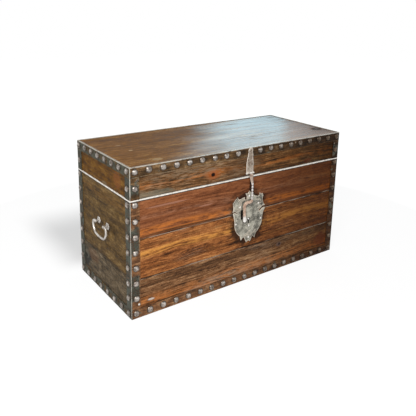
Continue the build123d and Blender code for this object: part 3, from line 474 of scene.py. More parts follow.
# %% The strap finish
def strap_finish(name, run, stain, bare_places, folds, bareness=0.0, hem=None):
    """Iron strap: streaked stain, darker to the right partly as painted shade, with bare dark iron where a
    mask is high.

    bare_places are (axis, place, reach, axis, low, high): bare within reach of place on one axis, from low to high
    on the other. folds are (axis, level, axis, level, reach, lowest z): folds rubbed bright above a height, a pale
    that is also a painted highlight.
    bareness from 0 to 1 bares more of the rest. hem is the height of a lower edge that is rubbed pale.
    """
    made = Finish(name)
    axes = made.axes
    cloud, grain = made.cloud_and_grain(30.0, 380.0, roughness=0.65)
    streak = made.noise((axes[run] * 9.0, made.z * 120.0, axes["|x|"] * 3.0), 1.0, 4.0, 0.65)
    tone = (streak - 0.5) * 1.3 + (cloud - 0.5) * 1.1 + (grain - 0.5) * 0.5 + 0.5
    # the stain darkens towards the right: partly stain, partly painted shade for the lamp's fall-off
    stain_and_shade = made.mix(made.x.between(-0.30, 0.45), made.ramp(tone, stain), (132, 116, 90), "MULTIPLY")
    bare = cloud.between(0.60 - bareness * 0.3, 0.68 - bareness * 0.2) * (0.8 + bareness * 0.15)
    for axis, place, reach, other, low, high in bare_places:
        near = abs(axes[axis] - place).between(reach, reach * 0.8)
        ragged = axes[other] + (cloud - 0.5) * 0.05
        span = ragged.between(low - 6 * mm, low + 6 * mm) * ragged.between(high + 6 * mm, high - 6 * mm)
        bare = bare.most(near * span * (cloud * 0.5 + grain * 0.5).between(0.36, 0.50))
    iron_colour = made.mix((cloud * 0.4 + grain * 0.6).between(0.36, 0.66), (28, 30, 26), (106, 108, 96))
    colour = made.mix(bare, stain_and_shade, iron_colour)
    if hem is not None:
        lasting = made.x.between(0.30, -0.05) * 0.8 + 0.2
        rubbed = abs(made.z - hem).between(1.6 * mm, 0.4 * mm) * grain.between(0.40, 0.55)
        colour = made.mix(rubbed * lasting, colour, (164, 144, 116))
    # the pale along the folds is rubbed metal and also a painted highlight
    for first, first_level, second, second_level, reach, lowest in folds:
        far = away(axes[first], axes[second], (first_level, second_level))
        near = far.between(reach, reach * 0.35) * made.z.between(lowest - 10 * mm, lowest + 10 * mm)
        colour = made.mix(near * (grain * 0.5 + cloud * 0.5).between(0.36, 0.50) * 0.9, colour, (212, 206, 194))
    on_top = made.z.between(lid_top - 3 * mm, lid_top - 1 * mm)
    return made.dress(colour, grain * 0.2 + cloud * 0.2 + 0.34, bare * 0.6,
                      made.dents(120.0) * 0.7 + grain * 0.2 + streak * 0.3, 0.8 * mm, specular=0.15,
                      coat=varnish(made) * on_top)


# %% Finishes of the rim, the dome nails and the hasp's arm
def rim_finish():
    """The rim strip: rubbed white along its top edge, painted shadow in a dark band just below, and brown stain under
    that.
    """
    made = Finish("bright rim")
    cloud, grain = made.cloud_and_grain(45.0, 420.0)
    mixed = cloud * 0.5 + grain * 0.5
    rubbed = (made.z + (cloud - 0.5) * 0.002).between(rim_high - 5.2 * mm, rim_high - 3.6 * mm)
    # a dark band just under the white edge is painted shadow below the rim's lip
    shadowed = made.z.between(rim_high - 9.5 * mm, rim_high - 7.5 * mm)
    stain = made.mix(shadowed, made.mix(mixed, (84, 54, 34), (138, 88, 56)), (34, 24, 17))
    bright = made.mix(mixed.between(0.32, 0.56), (196, 185, 171), (254, 249, 240))
    return made.dress(made.mix(rubbed, stain, bright), grain * 0.2 + 0.38, rubbed * 0.15, grain, 0.3 * mm, 1.0)


def nail_finish():
    """A dome nail: rubbed bright at its crown, dark at its rim with grease and painted contact shade, by the
    crown number of the domes. It is darker to the right, partly as painted shade.
    """
    made = Finish("dome nail iron")
    cloud, grain = made.cloud_and_grain(70.0, 480.0, 3.0)
    crown = made.stored("crown")
    ring = crown + (cloud - 0.5) * 0.3
    # the dark rim is grease and painted contact shade where the dome meets the iron
    colour = made.mix(ring.between(-0.04, 0.30), (24, 21, 18), (112, 102, 93))
    bright = ring.between(0.30, 0.78) * (cloud * 0.6 + grain * 0.4).between(0.40, 0.60)
    colour = made.mix(bright * 0.85, colour, (228, 221, 213))
    # darker to the right: partly stain, partly painted shade for the lamp's fall-off
    colour = made.mix(made.x.between(-0.20, 0.45), colour, (158, 140, 122), "MULTIPLY")
    return made.dress(colour, grain * 0.12 + 0.24, crown * 0.1 + 0.75, made.dents(260.0) * 0.8 + grain * 0.2,
                      0.4 * mm, 0.5)


def arm_finish():
    """The hasp's arm by height: silvery rod, a hook worn to copper pink, a foot rubbed white, and a knuckle white
    partly from rubbing and partly as a painted highlight.
    """
    made = Finish("rubbed arm iron")
    cloud, grain = made.cloud_and_grain(60.0, 420.0)
    mixed = (cloud * 0.5 + grain * 0.5).between(0.36, 0.60)
    blade, silver, copper, dark, white = (made.mix(mixed, *pair) for pair in (
        ((132, 104, 86), (206, 184, 166)), ((140, 130, 124), (232, 228, 226)), ((132, 92, 72), (238, 208, 184)),
        ((58, 48, 40), (92, 78, 68)), ((214, 206, 196), (252, 250, 246))))
    level = made.z + (cloud - 0.5) * 0.012
    foot = level.between(0.290, 0.276)
    colour = made.mix(level.between(0.424, 0.408), blade, silver)
    colour = made.mix(level.between(0.350, 0.343), colour, copper)
    colour = made.mix(foot, colour, white)
    # the knuckle's white is partly rubbed metal and partly a painted highlight along the barrel
    colour = made.mix(made.z.between(hasp_pin[2] - 4 * mm, hasp_pin[2] - 3 * mm), colour, white)
    colour = made.mix(made.stored("groove") * 0.7, colour, dark)
    return made.dress(colour, grain * 0.25 + 0.22, (cloud * 0.3 + 0.25) * (1.0 - foot),
                      made.dents(200.0) * 0.8 + grain * 0.2, 0.5 * mm)


# %% Dress the iron
lid_lip = 6 * mm
edges = (("|x|", half_width), ("|y|", half_depth))
lid_folds = [(axis, level, "z", lid_top, 3.5 * mm, 0.0) for axis, level in edges]
lid_folds += [("|x|", half_width, "|y|", half_depth, 3.0 * mm, 0.43)]
lid_folds += [(axis, level - lid_lip, "z", lid_top, 2.4 * mm, 0.0) for axis, level in edges]
all_folds = [("|x|", half_width, "|y|", half_depth, 1.8 * mm, 0.0)] + lid_folds
front_bare = [("x", -half_width, 0.036, "z", 0.255, 0.345), ("x", -half_width, 0.036, "z", 0.07, 0.165),
              ("|x|", half_width, 0.036, "z", 0.46, 0.50), ("|x|", half_width, 0.0034, "z", -0.1, 0.7)]
side_bare = [("y", -half_depth, 0.036, "z", 0.05, 0.42), ("y", half_depth, 0.036, "z", 0.02, 0.50)]
lid_strap_brown = ((28, 19, 10), (72, 53, 32), (106, 78, 48), (166, 134, 96))
strap_sides = {
    "front": strap_finish("front straps", "x", foot_brown, front_bare, all_folds),
    "side": strap_finish("side straps", "y", side_brown, side_bare, all_folds, 0.7),
    "lid": strap_finish("lid straps", "x", lid_strap_brown, front_bare, lid_folds, hem=strap_low),
}
strap_hasp_iron = iron_finish("hasp strap iron", (124, 104, 88), (206, 194, 178), 0.3, 0.46,
                              pale=(232, 222, 208), dark=(60, 44, 34))
plate_iron = iron_finish("lock plate iron", (74, 72, 63), (198, 194, 178), 0.2, 0.5,
                         pale=(228, 216, 196), dark=(38, 34, 28))
# the lock case is darker than its iron: painted shade seen through the keyhole
lock_iron = iron_finish("lock iron", (26, 23, 21), (50, 46, 42), 0.5, 0.6)
handle_iron = iron_finish("handle iron", (176, 166, 156), (246, 243, 238), 0.6, 0.3)
bright_pin_iron = iron_finish("bright pin iron", (226, 220, 210), (254, 252, 248), 0.1, 0.35)
arm_iron, nail_iron = arm_finish(), nail_finish()
slot_finish = {
    "bright_rim_iron": rim_finish(), "hasp_iron": bright_pin_iron, "lock_plate_iron": plate_iron,
    "dome_nail_iron": iron_finish("small nail iron", (84, 70, 58), (150, 132, 114), 0.5, 0.4, 240.0),
    "lock_iron": lock_iron, "handle_iron": handle_iron,
}
for part in frame["record"]["subparts"]:
    name, slot = part["node"], part["material_slot"]
    if slot in slot_finish:
        paint(name, slot_finish[slot])
    elif slot == "strap_iron":
        sideways = name.endswith(("strip_left", "strip_right", "strap_left", "strap_right"))
        paint(name, strap_sides["side" if sideways else "lid" if name.startswith("lid") else "front"])
paint("base_small_nails", bright_pin_iron)
# the staple takes the darkened lock iron as painted shade between the bar and the plate
paint("hasp_staple", lock_iron)
print("iron dressed")

# %% [markdown]
# ## Surfaces from arrays
#
# Every new piece is a grid of points worked out with numpy. The helpers below join a grid to quads: a grid of shape
# (rows, columns, 3) is closed round its columns, and either gets a flat cap at each end or has its last row joined to
# its first. The sign of the volume tells whether a shell's faces look outward, and they are turned if they don't.
# Many copies of one shape are one array with a leading axis, so nothing loops over points.

# %% Grids to meshes
def grid_faces(rows, columns, looped=False):
    """Corner numbers of the quads of a grid closed round its columns, and also round its rows if it is looped."""
    row, column = np.meshgrid(np.arange(rows if looped else rows - 1), np.arange(columns), indexing="ij")
    beside, after = (column + 1) % columns, (row + 1) % rows
    return np.stack([row * columns + column, row * columns + beside,
                     after * columns + beside, after * columns + column], -1).reshape(-1, 4)


def tube_faces(rows, columns):
    """The quads of a tube and one flat cap at each end."""
    ring = np.arange(columns)
    return [grid_faces(rows, columns), np.array([ring[::-1], ring + (rows - 1) * columns])]


def turned_outward(points, faces):
    """Flip all faces if the volume they enclose comes out negative (sum of corner triple products / 6)."""
    volume = 0.0
    for block in faces:
        corner = points[block]
        for k in range(1, block.shape[1] - 1):
            volume += np.einsum("ij,ij->i", corner[:, 0], np.cross(corner[:, k], corner[:, k + 1])).sum() / 6
    return [block[:, ::-1] for block in faces] if volume < 0 else faces


def stand(name, mesh, body, node=None):
    """A piece at the origin that rides on a body, and takes the place of a node if one is named."""
    piece = bpy.data.objects.new(name, mesh)
    bpy.context.scene.collection.objects.link(piece)
    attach(piece, body)
    if node:
        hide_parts(node)
    print(name, len(mesh.vertices), "points", len(mesh.polygons), "faces")
    return piece


def new_piece(name, shells, material, body, node=None, smooth=True):
    """A piece from shells, each an array of points and a list of face arrays."""
    all_points, polygons, shift = [], [], 0
    for points, faces in shells:
        points = points.reshape(-1, 3)
        polygons += [(polygon + shift).tolist() for block in turned_outward(points, faces) for polygon in block]
        all_points += points.tolist()
        shift += len(points)
    mesh = bpy.data.meshes.new(name)
    mesh.from_pydata(all_points, [], polygons)
    mesh.polygons.foreach_set("use_smooth", np.broadcast_to(smooth, len(polygons)))
    mesh.materials.append(material)
    mesh.update()
    return stand(name, mesh, body, node)


def store(mesh, name, numbers):
    """Keep one number per point, which a finish reads."""
    mesh.attributes.new(name, "FLOAT", "POINT").data.foreach_set("value", np.asarray(numbers, np.float32))


def applied(piece):
    """The mesh that a piece's modifiers make of it."""
    bpy.context.view_layer.update()
    return bpy.data.meshes.new_from_object(piece.evaluated_get(bpy.context.evaluated_depsgraph_get()))


def ripple(u, v, seed, waves=9, longest=0.4, shortest=0.05):
    """Smooth unevenness between about -1 and 1: a sum of sine waves with random directions, lengths and starts."""
    random = np.random.default_rng(seed)
    angle = random.uniform(0, 2 * np.pi, waves)
    length = np.geomspace(longest, shortest, waves)
    start = random.uniform(0, 2 * np.pi, waves)
    weight = length ** 0.5
    phase = (u[..., None] * np.cos(angle) + v[..., None] * np.sin(angle)) * 2 * np.pi / length + start
    return (np.sin(phase) * weight).sum(-1) / weight.sum() * 1.6


# %% [markdown]
# ## Planks
#
# A hand-planed plank is never flat. Its face rolls by half a millimetre, its show edges are rounded unevenly by wear
# and a few drying checks run along the grain. Each plank is a section carried along the board: the section is a
# rectangle whose show face has many points, and every station moves those points inward by the roll, the worn edge
# and the checks. It never stands proud of the sawn board, so straps and nails keep their seats.

# %% A plank as a section carried along its length
WALL_SIDE = {"front": (LYING, -1), "back": (LYING, 1), "left": (SIDE, -1), "right": (SIDE, 1), "top": (FLAT, 1)}
planks = {}


def lay_plank(node, wall, seed, body, checks=(), wear=1.6 * mm, stations=240, rows=64):
    """An uneven plank in the place of a board, its show face towards the wall's outside.

    Depth of the show face = roll + wear * exp(-distance to the edge / 4 mm) + checks, each check a narrow groove.
    checks are (level across the grain, start, end, depth) with start and end along the board from 0 to 1.
    """
    low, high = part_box(node)
    axes, sign = WALL_SIDE[wall]
    run, rise, deep = ("xyz".index(letter) for letter in axes)
    length, share = np.meshgrid(np.linspace(0.0, 1.0, stations), np.linspace(0.0, 1.0, rows), indexing="ij")
    along = low[run] + (high[run] - low[run]) * length
    level = low[rise] + (high[rise] - low[rise]) * share
    pull_reach, edge_wear_reach, roll_depth = 12 * mm, 4 * mm, 0.35 * mm
    wander = 4 * mm * ripple(along, along * 0, seed + 5, 6, 0.7, 0.12)
    for check in checks:
        line = check[0] + wander
        level = level + (line - level) * np.exp(-((level - line) / pull_reach) ** 2) * 0.75
    edge = np.minimum(level - low[rise], high[rise] - level)
    uneven = 0.6 + 0.4 * ripple(along, level * 0.2, seed + 1, 7, 0.5, 0.04)
    inward = roll_depth * (1 + ripple(along * 0.35, level, seed)) + wear * uneven * np.exp(-edge / edge_wear_reach)
    width = 1.2 * mm * (0.7 + 0.3 * ripple(along, along * 0, seed + 9, 6, 0.3, 0.03))
    for place, start, end, depth in checks:
        here = np.clip(np.minimum(length - start, end - length) / 0.06, 0, 1)
        inward = inward + depth * here * np.exp(-((level - place - wander) / width) ** 2)
    show, hidden = (high, low) if sign > 0 else (low, high)
    points = np.empty((stations, rows + 2, 3))
    points[:, :rows, run], points[:, :rows, rise] = along, level
    points[:, :rows, deep] = show[deep] - sign * np.clip(inward, 0, None)
    points[:, rows:, run] = along[:, :1]
    points[:, rows:, rise] = high[rise], low[rise]
    points[:, rows:, deep] = hidden[deep]
    smooth = np.append(np.tile(np.arange(rows + 2) < rows - 1, stations - 1), [True, True])
    planks[node] = new_piece(node + "_planed", [(points, tube_faces(stations, rows + 2))], finishes[node], body,
                             node, smooth)


# %% Lay the planks
front_checks = {
    "top": [(0.372, 0.30, 0.98, 1.2 * mm)],
    "middle": [(0.189, 0.02, 0.75, 1.8 * mm), (0.262, 0.55, 1.0, 1.0 * mm)],
    "bottom": [(0.096, 0.10, 0.55, 1.4 * mm), (0.118, 0.0, 0.35, 1.2 * mm)],
}
for level, seed in (("top", 1), ("middle", 2), ("bottom", 3)):
    lay_plank(f"base_front_plank_{level}", "front", seed, "base", front_checks[level])
    lay_plank(f"base_back_plank_{level}", "back", seed + 20, "base", [(0.05 + 0.17 * seed, 0.1, 0.7, 1.4 * mm)])
for wall, seed in (("left", 31), ("right", 36)):
    for level, step, check in (("top", 0, (0.215, 0.0, 0.45, 1.2 * mm)), ("bottom", 1, (0.10, 0.2, 0.9, 1.0 * mm))):
        lay_plank(f"base_{wall}_plank_{level}", wall, seed + step, "base", [check], 0.5 * mm, 120)
rail_checks = [(0.458, 0.02, 0.30, 1.2 * mm), (0.500, 0.35, 0.7, 0.9 * mm)]
for wall, seed, checks, stations in (("front", 41, rail_checks, 240), ("back", 42, [], 240), ("left", 43, [], 120),
                                     ("right", 44, [], 120)):
    lay_plank(f"lid_{wall}_rail", wall, seed, "lid", checks, stations=stations)
for number, checks in ((1, [(-0.13, 0.05, 0.20, 0.9 * mm)]), (2, [(0.02, 0.52, 0.58, 0.9 * mm)]), (3, [])):
    lay_plank(f"lid_top_board_{number}", "top", 51, "lid", checks, 0.1 * mm)
print(len(planks), "planks laid")

# %% [markdown]
# ## The lock's mortise
#
# The lock case lies in a pocket cut through the seam of two front planks. A Boolean modifier cuts it from each, and
# its result is kept as the plank's own mesh, so that no cutter stays in the scene.

# %% Cut the mortise
case_low, case_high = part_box("lock_case")
room, past_front = 0.4 * mm, 50 * mm
corners = [(x, y, z) for x in (case_low.x - room, case_high.x + room)
           for y in (case_low.y - past_front, case_high.y + room)
           for z in (case_low.z - room, case_high.z + room)]
cutter_mesh = bpy.data.meshes.new("mortise cutter")
cutter_mesh.from_pydata(corners, [], [(0, 1, 3, 2), (4, 6, 7, 5), (0, 4, 5, 1), (2, 3, 7, 6), (0, 2, 6, 4),
                                      (1, 5, 7, 3)])
cutter = bpy.data.objects.new("mortise cutter", cutter_mesh)
bpy.context.scene.collection.objects.link(cutter)
for name in ("base_front_plank_middle", "base_front_plank_top"):
    piece = planks[name]
    cut = piece.modifiers.new("mortise", "BOOLEAN")
    cut.object, cut.operation, cut.solver = cutter, "DIFFERENCE", "EXACT"
    kept = applied(piece)
    piece.modifiers.clear()
    piece.data = kept
    print(piece.name, len(kept.polygons), "faces after the mortise")
bpy.data.objects.remove(cutter)

# %% [markdown]
# ## Dome nails
#
# The nails are forged: each head is struck a few times, so no two domes are quite round or quite level. One dome is
# a small polar grid of rings. All nails of a body are one array of many domes, each with its own size, height, oval
# and dents from a seeded random number.

# %% Where the nails stand
upward = np.array([0, 0, 1])
nail_inset, nail_jitter, lid_row_lift = 19 * mm, 1.2 * mm, 2.5 * mm
nail_radius, nail_height = 12.5 * mm, 8 * mm
column_count, long_count, short_count = 8, 19, 8
WALLS = {  # outward direction, direction along the wall, half length of the wall, its distance from the middle
    "front": (np.array([0, -1, 0]), np.array([1, 0, 0]), half_width, half_depth, long_count),
    "back": (np.array([0, 1, 0]), np.array([-1, 0, 0]), half_width, half_depth, long_count),
    "left": (np.array([-1, 0, 0]), np.array([0, -1, 0]), half_depth, half_width, short_count),
    "right": (np.array([1, 0, 0]), np.array([0, 1, 0]), half_depth, half_width, short_count),
}
hasp_low, hasp_high = (corner.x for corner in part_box("hasp_strap"))
hasp_middle, hasp_keep_out = (hasp_low + hasp_high) / 2, (hasp_high - hasp_low) / 2 + nail_radius


def nail_spots(wall, body):
    """Seats of the dome nails of one wall: points on the iron's face."""
    outward, sideways, reach, distance, count = WALLS[wall]
    ends = np.array([-1, 1]) * (reach - nail_inset)
    row = np.linspace(ends[0], ends[1], count)
    if body == "base":
        column = np.linspace(nail_inset, (rim_high + lid_low) / 2 - nail_inset, column_count)
        seats = [(u, z) for u in ends for z in column] + [(u, nail_inset) for u in row[1:-1]]
    else:
        clear = [u for u in row if wall != "front" or abs(u - hasp_middle) > hasp_keep_out]
        seats = [(u, (lid_low + strap_low) / 2) for u in ends]
        seats += [(u, lid_top - nail_inset + lid_row_lift) for u in clear]
    random = np.random.default_rng(len(seats))
    seats = np.array(seats) + random.uniform(-nail_jitter, nail_jitter, (len(seats), 2))
    return outward * distance + seats[:, :1] * sideways + seats[:, 1:] * upward


# %% Strike the domes
def dome_nails(name, node, body, seed):
    """Domes on all four walls: caps of a ball of radius B = (R^2 + H^2) / 2H, dented and made oval.

    Height over the seat = sqrt(B^2 - r^2) - (B - H) for a nail of radius R and height H.
    """
    random = np.random.default_rng(seed)
    share = np.array([1.0, 0.93, 0.78, 0.56, 0.28])
    ball = (nail_radius ** 2 + nail_height ** 2) / (2 * nail_height)
    cap = np.sqrt(ball ** 2 - (nail_radius * share) ** 2) - (ball - nail_height)
    around = 12
    angle = np.arange(around) * 2 * np.pi / around
    blocks = []
    for wall, (outward, sideways, *_) in WALLS.items():
        spots = nail_spots(wall, body)
        number = len(spots)
        size = random.uniform(1.0, 1.08, (number, 1, 1))
        tall = random.uniform(0.90, 0.99, (number, 1, 1))
        oval = 1 - random.uniform(0, 0.07, (number, 1, 1)) * (
            1 + np.cos(2 * (angle - random.uniform(0, np.pi, (number, 1, 1))))) / 2
        radius = nail_radius * share[:, None] * size * oval
        dents = 1 - random.uniform(0, 0.08, (number, len(share), around)) * (share[:, None] < 0.99)
        height = tall * cap[:, None] * dents
        rings = (spots[:, None, None] + (radius * np.cos(angle))[..., None] * sideways
                 + (radius * np.sin(angle))[..., None] * upward + height[..., None] * outward)
        top = spots + outward * (nail_height * tall[:, 0]) * random.uniform(0.96, 1.0, (number, 1))
        blocks.append(np.concatenate([rings.reshape(number, -1, 3), top[:, None], spots[:, None]], 1))
    points = np.concatenate(blocks)
    count, per_nail = points.shape[:2]
    step = np.arange(around)
    beside, inner = (step + 1) % around, (len(share) - 1) * around
    crown = np.stack([inner + step, inner + beside, np.full(around, per_nail - 2)], -1)
    base = np.stack([beside, step, np.full(around, per_nail - 1)], -1)
    shift = (np.arange(count) * per_nail)[:, None, None]
    faces = [(block + shift).reshape(-1, block.shape[1]) for block in (grid_faces(len(share), around), crown, base)]
    piece = new_piece(name, [(points, faces)], nail_iron, body, node)
    store(piece.data, "crown", np.tile(np.append(np.repeat(1 - share ** 2, around), [1.0, 0.0]), count))


dome_nails("base_domes", "base_dome_nails", "base", 7)
dome_nails("lid_domes", "lid_dome_nails", "lid", 8)

# %% [markdown]
# ## Forged sheet: the lock plate and the hasp's strap
#
# Both were cut with a chisel from sheet that was hammered flat by eye, so their outlines have no crisp arris and
# their faces roll. The outline is in the frame's solid already. A copy of it is rebuilt from small even cells by a
# voxel remesh, which rounds every arris at once, and each point then sinks by a ripple. A number on every point, 1 at
# the outline and 0 inside, tells the finish where the plate is rubbed pale.

# %% Hammer a copy of a solid
def stroke_distance(points, strokes):
    """Distance from each (x, z) point to the nearest of many straight runs, each worked out by projection."""
    nearest = np.full(len(points), 1.0)
    for stroke in strokes:
        for start, end in zip(stroke[:-1], stroke[1:]):
            run = end - start
            along = np.clip((points - start) @ run / (run @ run), 0, 1)
            nearest = np.minimum(nearest, np.linalg.norm(points - start - along[:, None] * run, axis=1))
    return nearest


def forged_copy(node, name, cell, sink, seed, material, body, strokes=(), greasy=(), bar_shadow_line=()):
    """A rounded copy of a node, each point sunk along its normal by sink * (1 + ripple) / 2.

    strokes are chiselled lines, sunk by 0.5 mm * exp(-(distance / 0.9 mm) ** 2), with a pale burr along both
    sides, partly rubbed metal and partly a painted highlight.
    greasy are (x, z, reach): openings whose rim stays dark. The last argument is the line of the hasp's bar over the
    plate;
    both its sides are darkened as the bar's painted shadow.
    """
    edge_reach, bar_half_width = 2.1 * mm, 7.8 * mm
    cut_depth, cut_reach, burr_place = 0.5 * mm, 0.9 * mm, 1.8 * mm
    merged = bmesh.new()
    merged.from_mesh(nodes[node].data)
    bmesh.ops.remove_doubles(merged, verts=merged.verts, dist=1e-6)
    mesh = bpy.data.meshes.new(name)
    merged.to_mesh(mesh)
    merged.free()
    raw = bpy.data.objects.new(name, mesh)
    bpy.context.scene.collection.objects.link(raw)
    rebuild = raw.modifiers.new("rebuild", "REMESH")
    rebuild.mode, rebuild.voxel_size, rebuild.adaptivity = "VOXEL", cell, 0.0
    kept = applied(raw)
    bpy.data.objects.remove(raw)
    count = len(kept.vertices)
    points, normals = np.empty(count * 3), np.empty(count * 3)
    kept.vertices.foreach_get("co", points)
    kept.vertices.foreach_get("normal", normals)
    points, normals = points.reshape(-1, 3), normals.reshape(-1, 3)
    flat = points[:, [0, 2]]
    rim = flat[np.abs(normals[:, 1]) < 0.6]
    for x, z, reach in greasy:
        rim = rim[np.hypot(rim[:, 0] - x * mm, rim[:, 1] - z * mm) > reach * mm]
    from_rim = np.full(count, 1.0)
    for block in np.array_split(rim, max(1, len(rim) // 400)):
        from_rim = np.minimum(from_rim, np.sqrt(((flat[:, None] - block[None]) ** 2).sum(-1)).min(1))
    line = stroke_distance(flat, strokes)
    # both sides of the hasp's bar are darkened as its painted shadow
    beside = np.abs(stroke_distance(flat, bar_shadow_line) - bar_half_width)
    roll = ripple(points[:, 0], points[:, 2], seed, 14, 0.09, 0.006)
    inward = sink * 0.5 * (1 + roll) + cut_depth * np.exp(-(line / cut_reach) ** 2)
    points = points - normals * inward[:, None] * np.clip(-normals[:, 1:2], 0, 1)
    kept.vertices.foreach_set("co", points.ravel())
    kept.polygons.foreach_set("use_smooth", np.ones(len(kept.polygons), bool))
    kept.materials.clear()
    kept.materials.append(material)
    # the edge number is 1 on the rubbed outline and on the pale burr beside each cut, which is also a painted
    # highlight
    store(kept, "edge", np.maximum(np.clip(1.7 - from_rim / edge_reach, 0, 1),
                                   np.clip(1.8 - np.abs(line - burr_place) / mm, 0, 1)))
    # the groove number is dark in the chisel cuts, and painted shadow beside the hasp's bar
    store(kept, "groove", np.maximum(np.clip(1.5 - line / mm, 0, 1),
                                     0.75 * np.clip(1.5 - beside / (1.6 * mm), 0, 1)))
    kept.update()
    stand(name, kept, body, node)


plate_strokes = [  # x and z in millimetres
    [(-73.5, 340.8), (-64.0, 354.5)],
    [(-48.0, 356.0), (-38.5, 346.5), (-34.5, 333.0), (-43.0, 324.0)],
    [(-19.0, 356.0), (-28.5, 348.0), (-33.6, 339.9)],
    [(7.5, 369.0), (1.5, 358.0), (-6.3, 341.7), (-9.2, 327.5)],
    [(-56.0, 317.5), (-44.0, 309.0), (-35.6, 313.7), (-39.7, 324.9)],
    [(-58.0, 305.0), (-45.6, 299.5)],
    [(50.1, 320.5), (64.9, 323.6), (76.0, 324.5)],
    [(55.6, 303.3), (69.7, 307.3), (82.0, 310.0)],
    [(62.7, 286.5), (70.3, 298.0)],
    [(40.5, 353.0), (53.0, 354.0), (64.0, 347.6)],
    [(45.2, 340.3), (56.3, 341.0), (68.2, 332.6)],
    [(-20.0, 188.0), (1.4, 194.8), (19.8, 196.0), (38.3, 200.8), (45.3, 211.6)],
    [(-8.2, 199.8), (4.6, 202.8), (17.1, 212.2)],
]
arm_line = [(9.0, 338.5), (-6.0, 338.5), (-16.0, 334.0), (-19.5, 323.0), (-19.5, 285.0), (-15.0, 264.0)]
forged_copy("lock_plate", "hammered_plate", 1.0 * mm, 0.4 * mm, 61, plate_iron, "base",
            [np.array(stroke) * mm for stroke in plate_strokes], [(9.5, 260.0, 15.0), (-24.0, 288.0, 26.0)],
            [np.array(arm_line) * mm])
forged_copy("hasp_strap", "hammered_strap", 0.7 * mm, 0.3 * mm, 62, strap_hasp_iron, "lid")

# %% [markdown]
# ## Forged bar: the hasp's arm and the bails
#
# A smith draws a bar out, flattens it here and rounds it there. That is a section carried along a path, with a width,
# a thickness and a squareness that change on the way. The path is a few places joined by a smooth curve, and the
# section is a superellipse: a circle where the squareness is 2, nearly a rectangle where it is 6.

# %% Carry a section along a path
def smooth_rows(rows, count):
    """Catmull-Rom curve through rows: each column is blended from its four nearest rows at evenly spaced places."""
    padded = np.vstack([2 * rows[0] - rows[1], rows, 2 * rows[-1] - rows[-2]])
    step = np.linalg.norm(np.diff(rows[:, :3], axis=0), axis=1)
    reach = np.append(0, np.cumsum(step))
    place = np.interp(np.linspace(0, reach[-1], count), reach, np.arange(len(rows)))
    first = np.minimum(place.astype(int), len(rows) - 2)
    t = (place - first)[:, None]
    a, b, c, d = (padded[first + k] for k in range(4))
    return 0.5 * (2 * b + (c - a) * t + (2 * a - 5 * b + 4 * c - d) * t ** 2 + (3 * b - a - 3 * c + d) * t ** 3)


def carried(path, side, half_wide, half_thick, square, around=20):
    """Sections along a path: offset = wide * |cos|^(2/q) sideways + thick * |sin|^(2/q) along the fixed side.

    side is the direction of the thickness. The width lies across both the path and that side, and each end is closed
    by one flat face.
    """
    run = np.gradient(path, axis=0)
    run /= np.linalg.norm(run, axis=1, keepdims=True)
    thick = side - run * (run @ side)[:, None]
    thick /= np.linalg.norm(thick, axis=1, keepdims=True)
    wide = np.cross(run, thick)
    angle = np.arange(around) * 2 * np.pi / around
    power = 2 / square[:, None]
    across = np.sign(np.cos(angle)) * np.abs(np.cos(angle)) ** power * half_wide[:, None]
    deep = np.sign(np.sin(angle)) * np.abs(np.sin(angle)) ** power * half_thick[:, None]
    points = path[:, None] + across[..., None] * wide[:, None] + deep[..., None] * thick[:, None]
    return points.reshape(-1, 3), tube_faces(len(path), around)


def collar(low, high, middle, inner, outer, around=28):
    """A short tube round an X axis: its section is a rectangle of inner and outer radius, turned once."""
    bevel = 0.4 * mm
    along, radius = np.array([(low, inner), (low, outer - bevel), (low + bevel, outer), (high - bevel, outer),
                              (high, outer - bevel), (high, inner)]).T
    angle = (np.arange(around) * 2 * np.pi / around)[:, None]
    points = np.stack([along + angle * 0, middle[1] + radius * np.cos(angle), middle[2] + radius * np.sin(angle)], -1)
    return points.reshape(-1, 3), [grid_faces(around, len(along), True)]


def hammered(count, depth, *waves):
    """How much a bar swells and thins along its length under the hammer: factors 1 + depth * ripple."""
    return 1 + depth * ripple(np.linspace(0, 0.3, count), np.zeros(count), *waves)


# %% Forge the arm
drop = hasp_pin[2]
arm_table = np.array([  # millimetres: x, out from the wood, below the pin, half width, half thickness; squareness
    (10.5, 4.8, 3.4, 6.4, 1.0, 6), (10.5, 4.9, 5.2, 6.6, 1.0, 6), (10.7, 5.8, 7.6, 9.0, 1.8, 5),
    (11.1, 5.8, 11.0, 9.2, 1.9, 5), (13.5, 5.8, 25.0, 7.2, 2.0, 4), (16.0, 6.6, 40.0, 5.0, 2.4, 3),
    (17.0, 7.6, 45.0, 4.0, 3.6, 2), (17.0, 8.0, 52.0, 3.9, 3.9, 2), (17.0, 8.0, 80.0, 3.9, 3.9, 2),
    (17.0, 8.0, 100.0, 4.0, 4.0, 2), (17.0, 8.0, 109.0, 4.2, 4.0, 2), (15.6, 8.6, 114.5, 5.2, 3.7, 2.5),
    (10.0, 9.0, 117.2, 6.0, 3.4, 3), (-4.0, 9.0, 117.5, 6.2, 3.4, 4), (-12.5, 9.0, 119.0, 6.2, 3.4, 4),
    (-18.1, 9.0, 124.5, 6.2, 3.4, 4), (-19.5, 9.0, 133.0, 6.1, 3.4, 4), (-19.5, 9.0, 150.0, 5.8, 3.4, 4),
    (-19.1, 9.0, 166.0, 5.8, 3.4, 4), (-17.3, 9.0, 179.0, 6.6, 3.4, 4), (-15.5, 9.0, 190.0, 7.7, 3.3, 3),
    (-14.9, 9.0, 195.5, 5.8, 2.8, 2.5), (-14.7, 9.0, 197.5, 2.6, 1.6, 2),
])
arm_table[:, :5] *= mm
arm_table[:, 1] = -wood_half_depth - arm_table[:, 1]
arm_table[:, 2] = drop - arm_table[:, 2]
rows = smooth_rows(arm_table, 420)
below = drop - rows[:, 2]
knop_start, knop_end, knop_pitch = 40 * mm, 99 * mm, 11.8 * mm
knopped = (below > knop_start) & (below < knop_end)
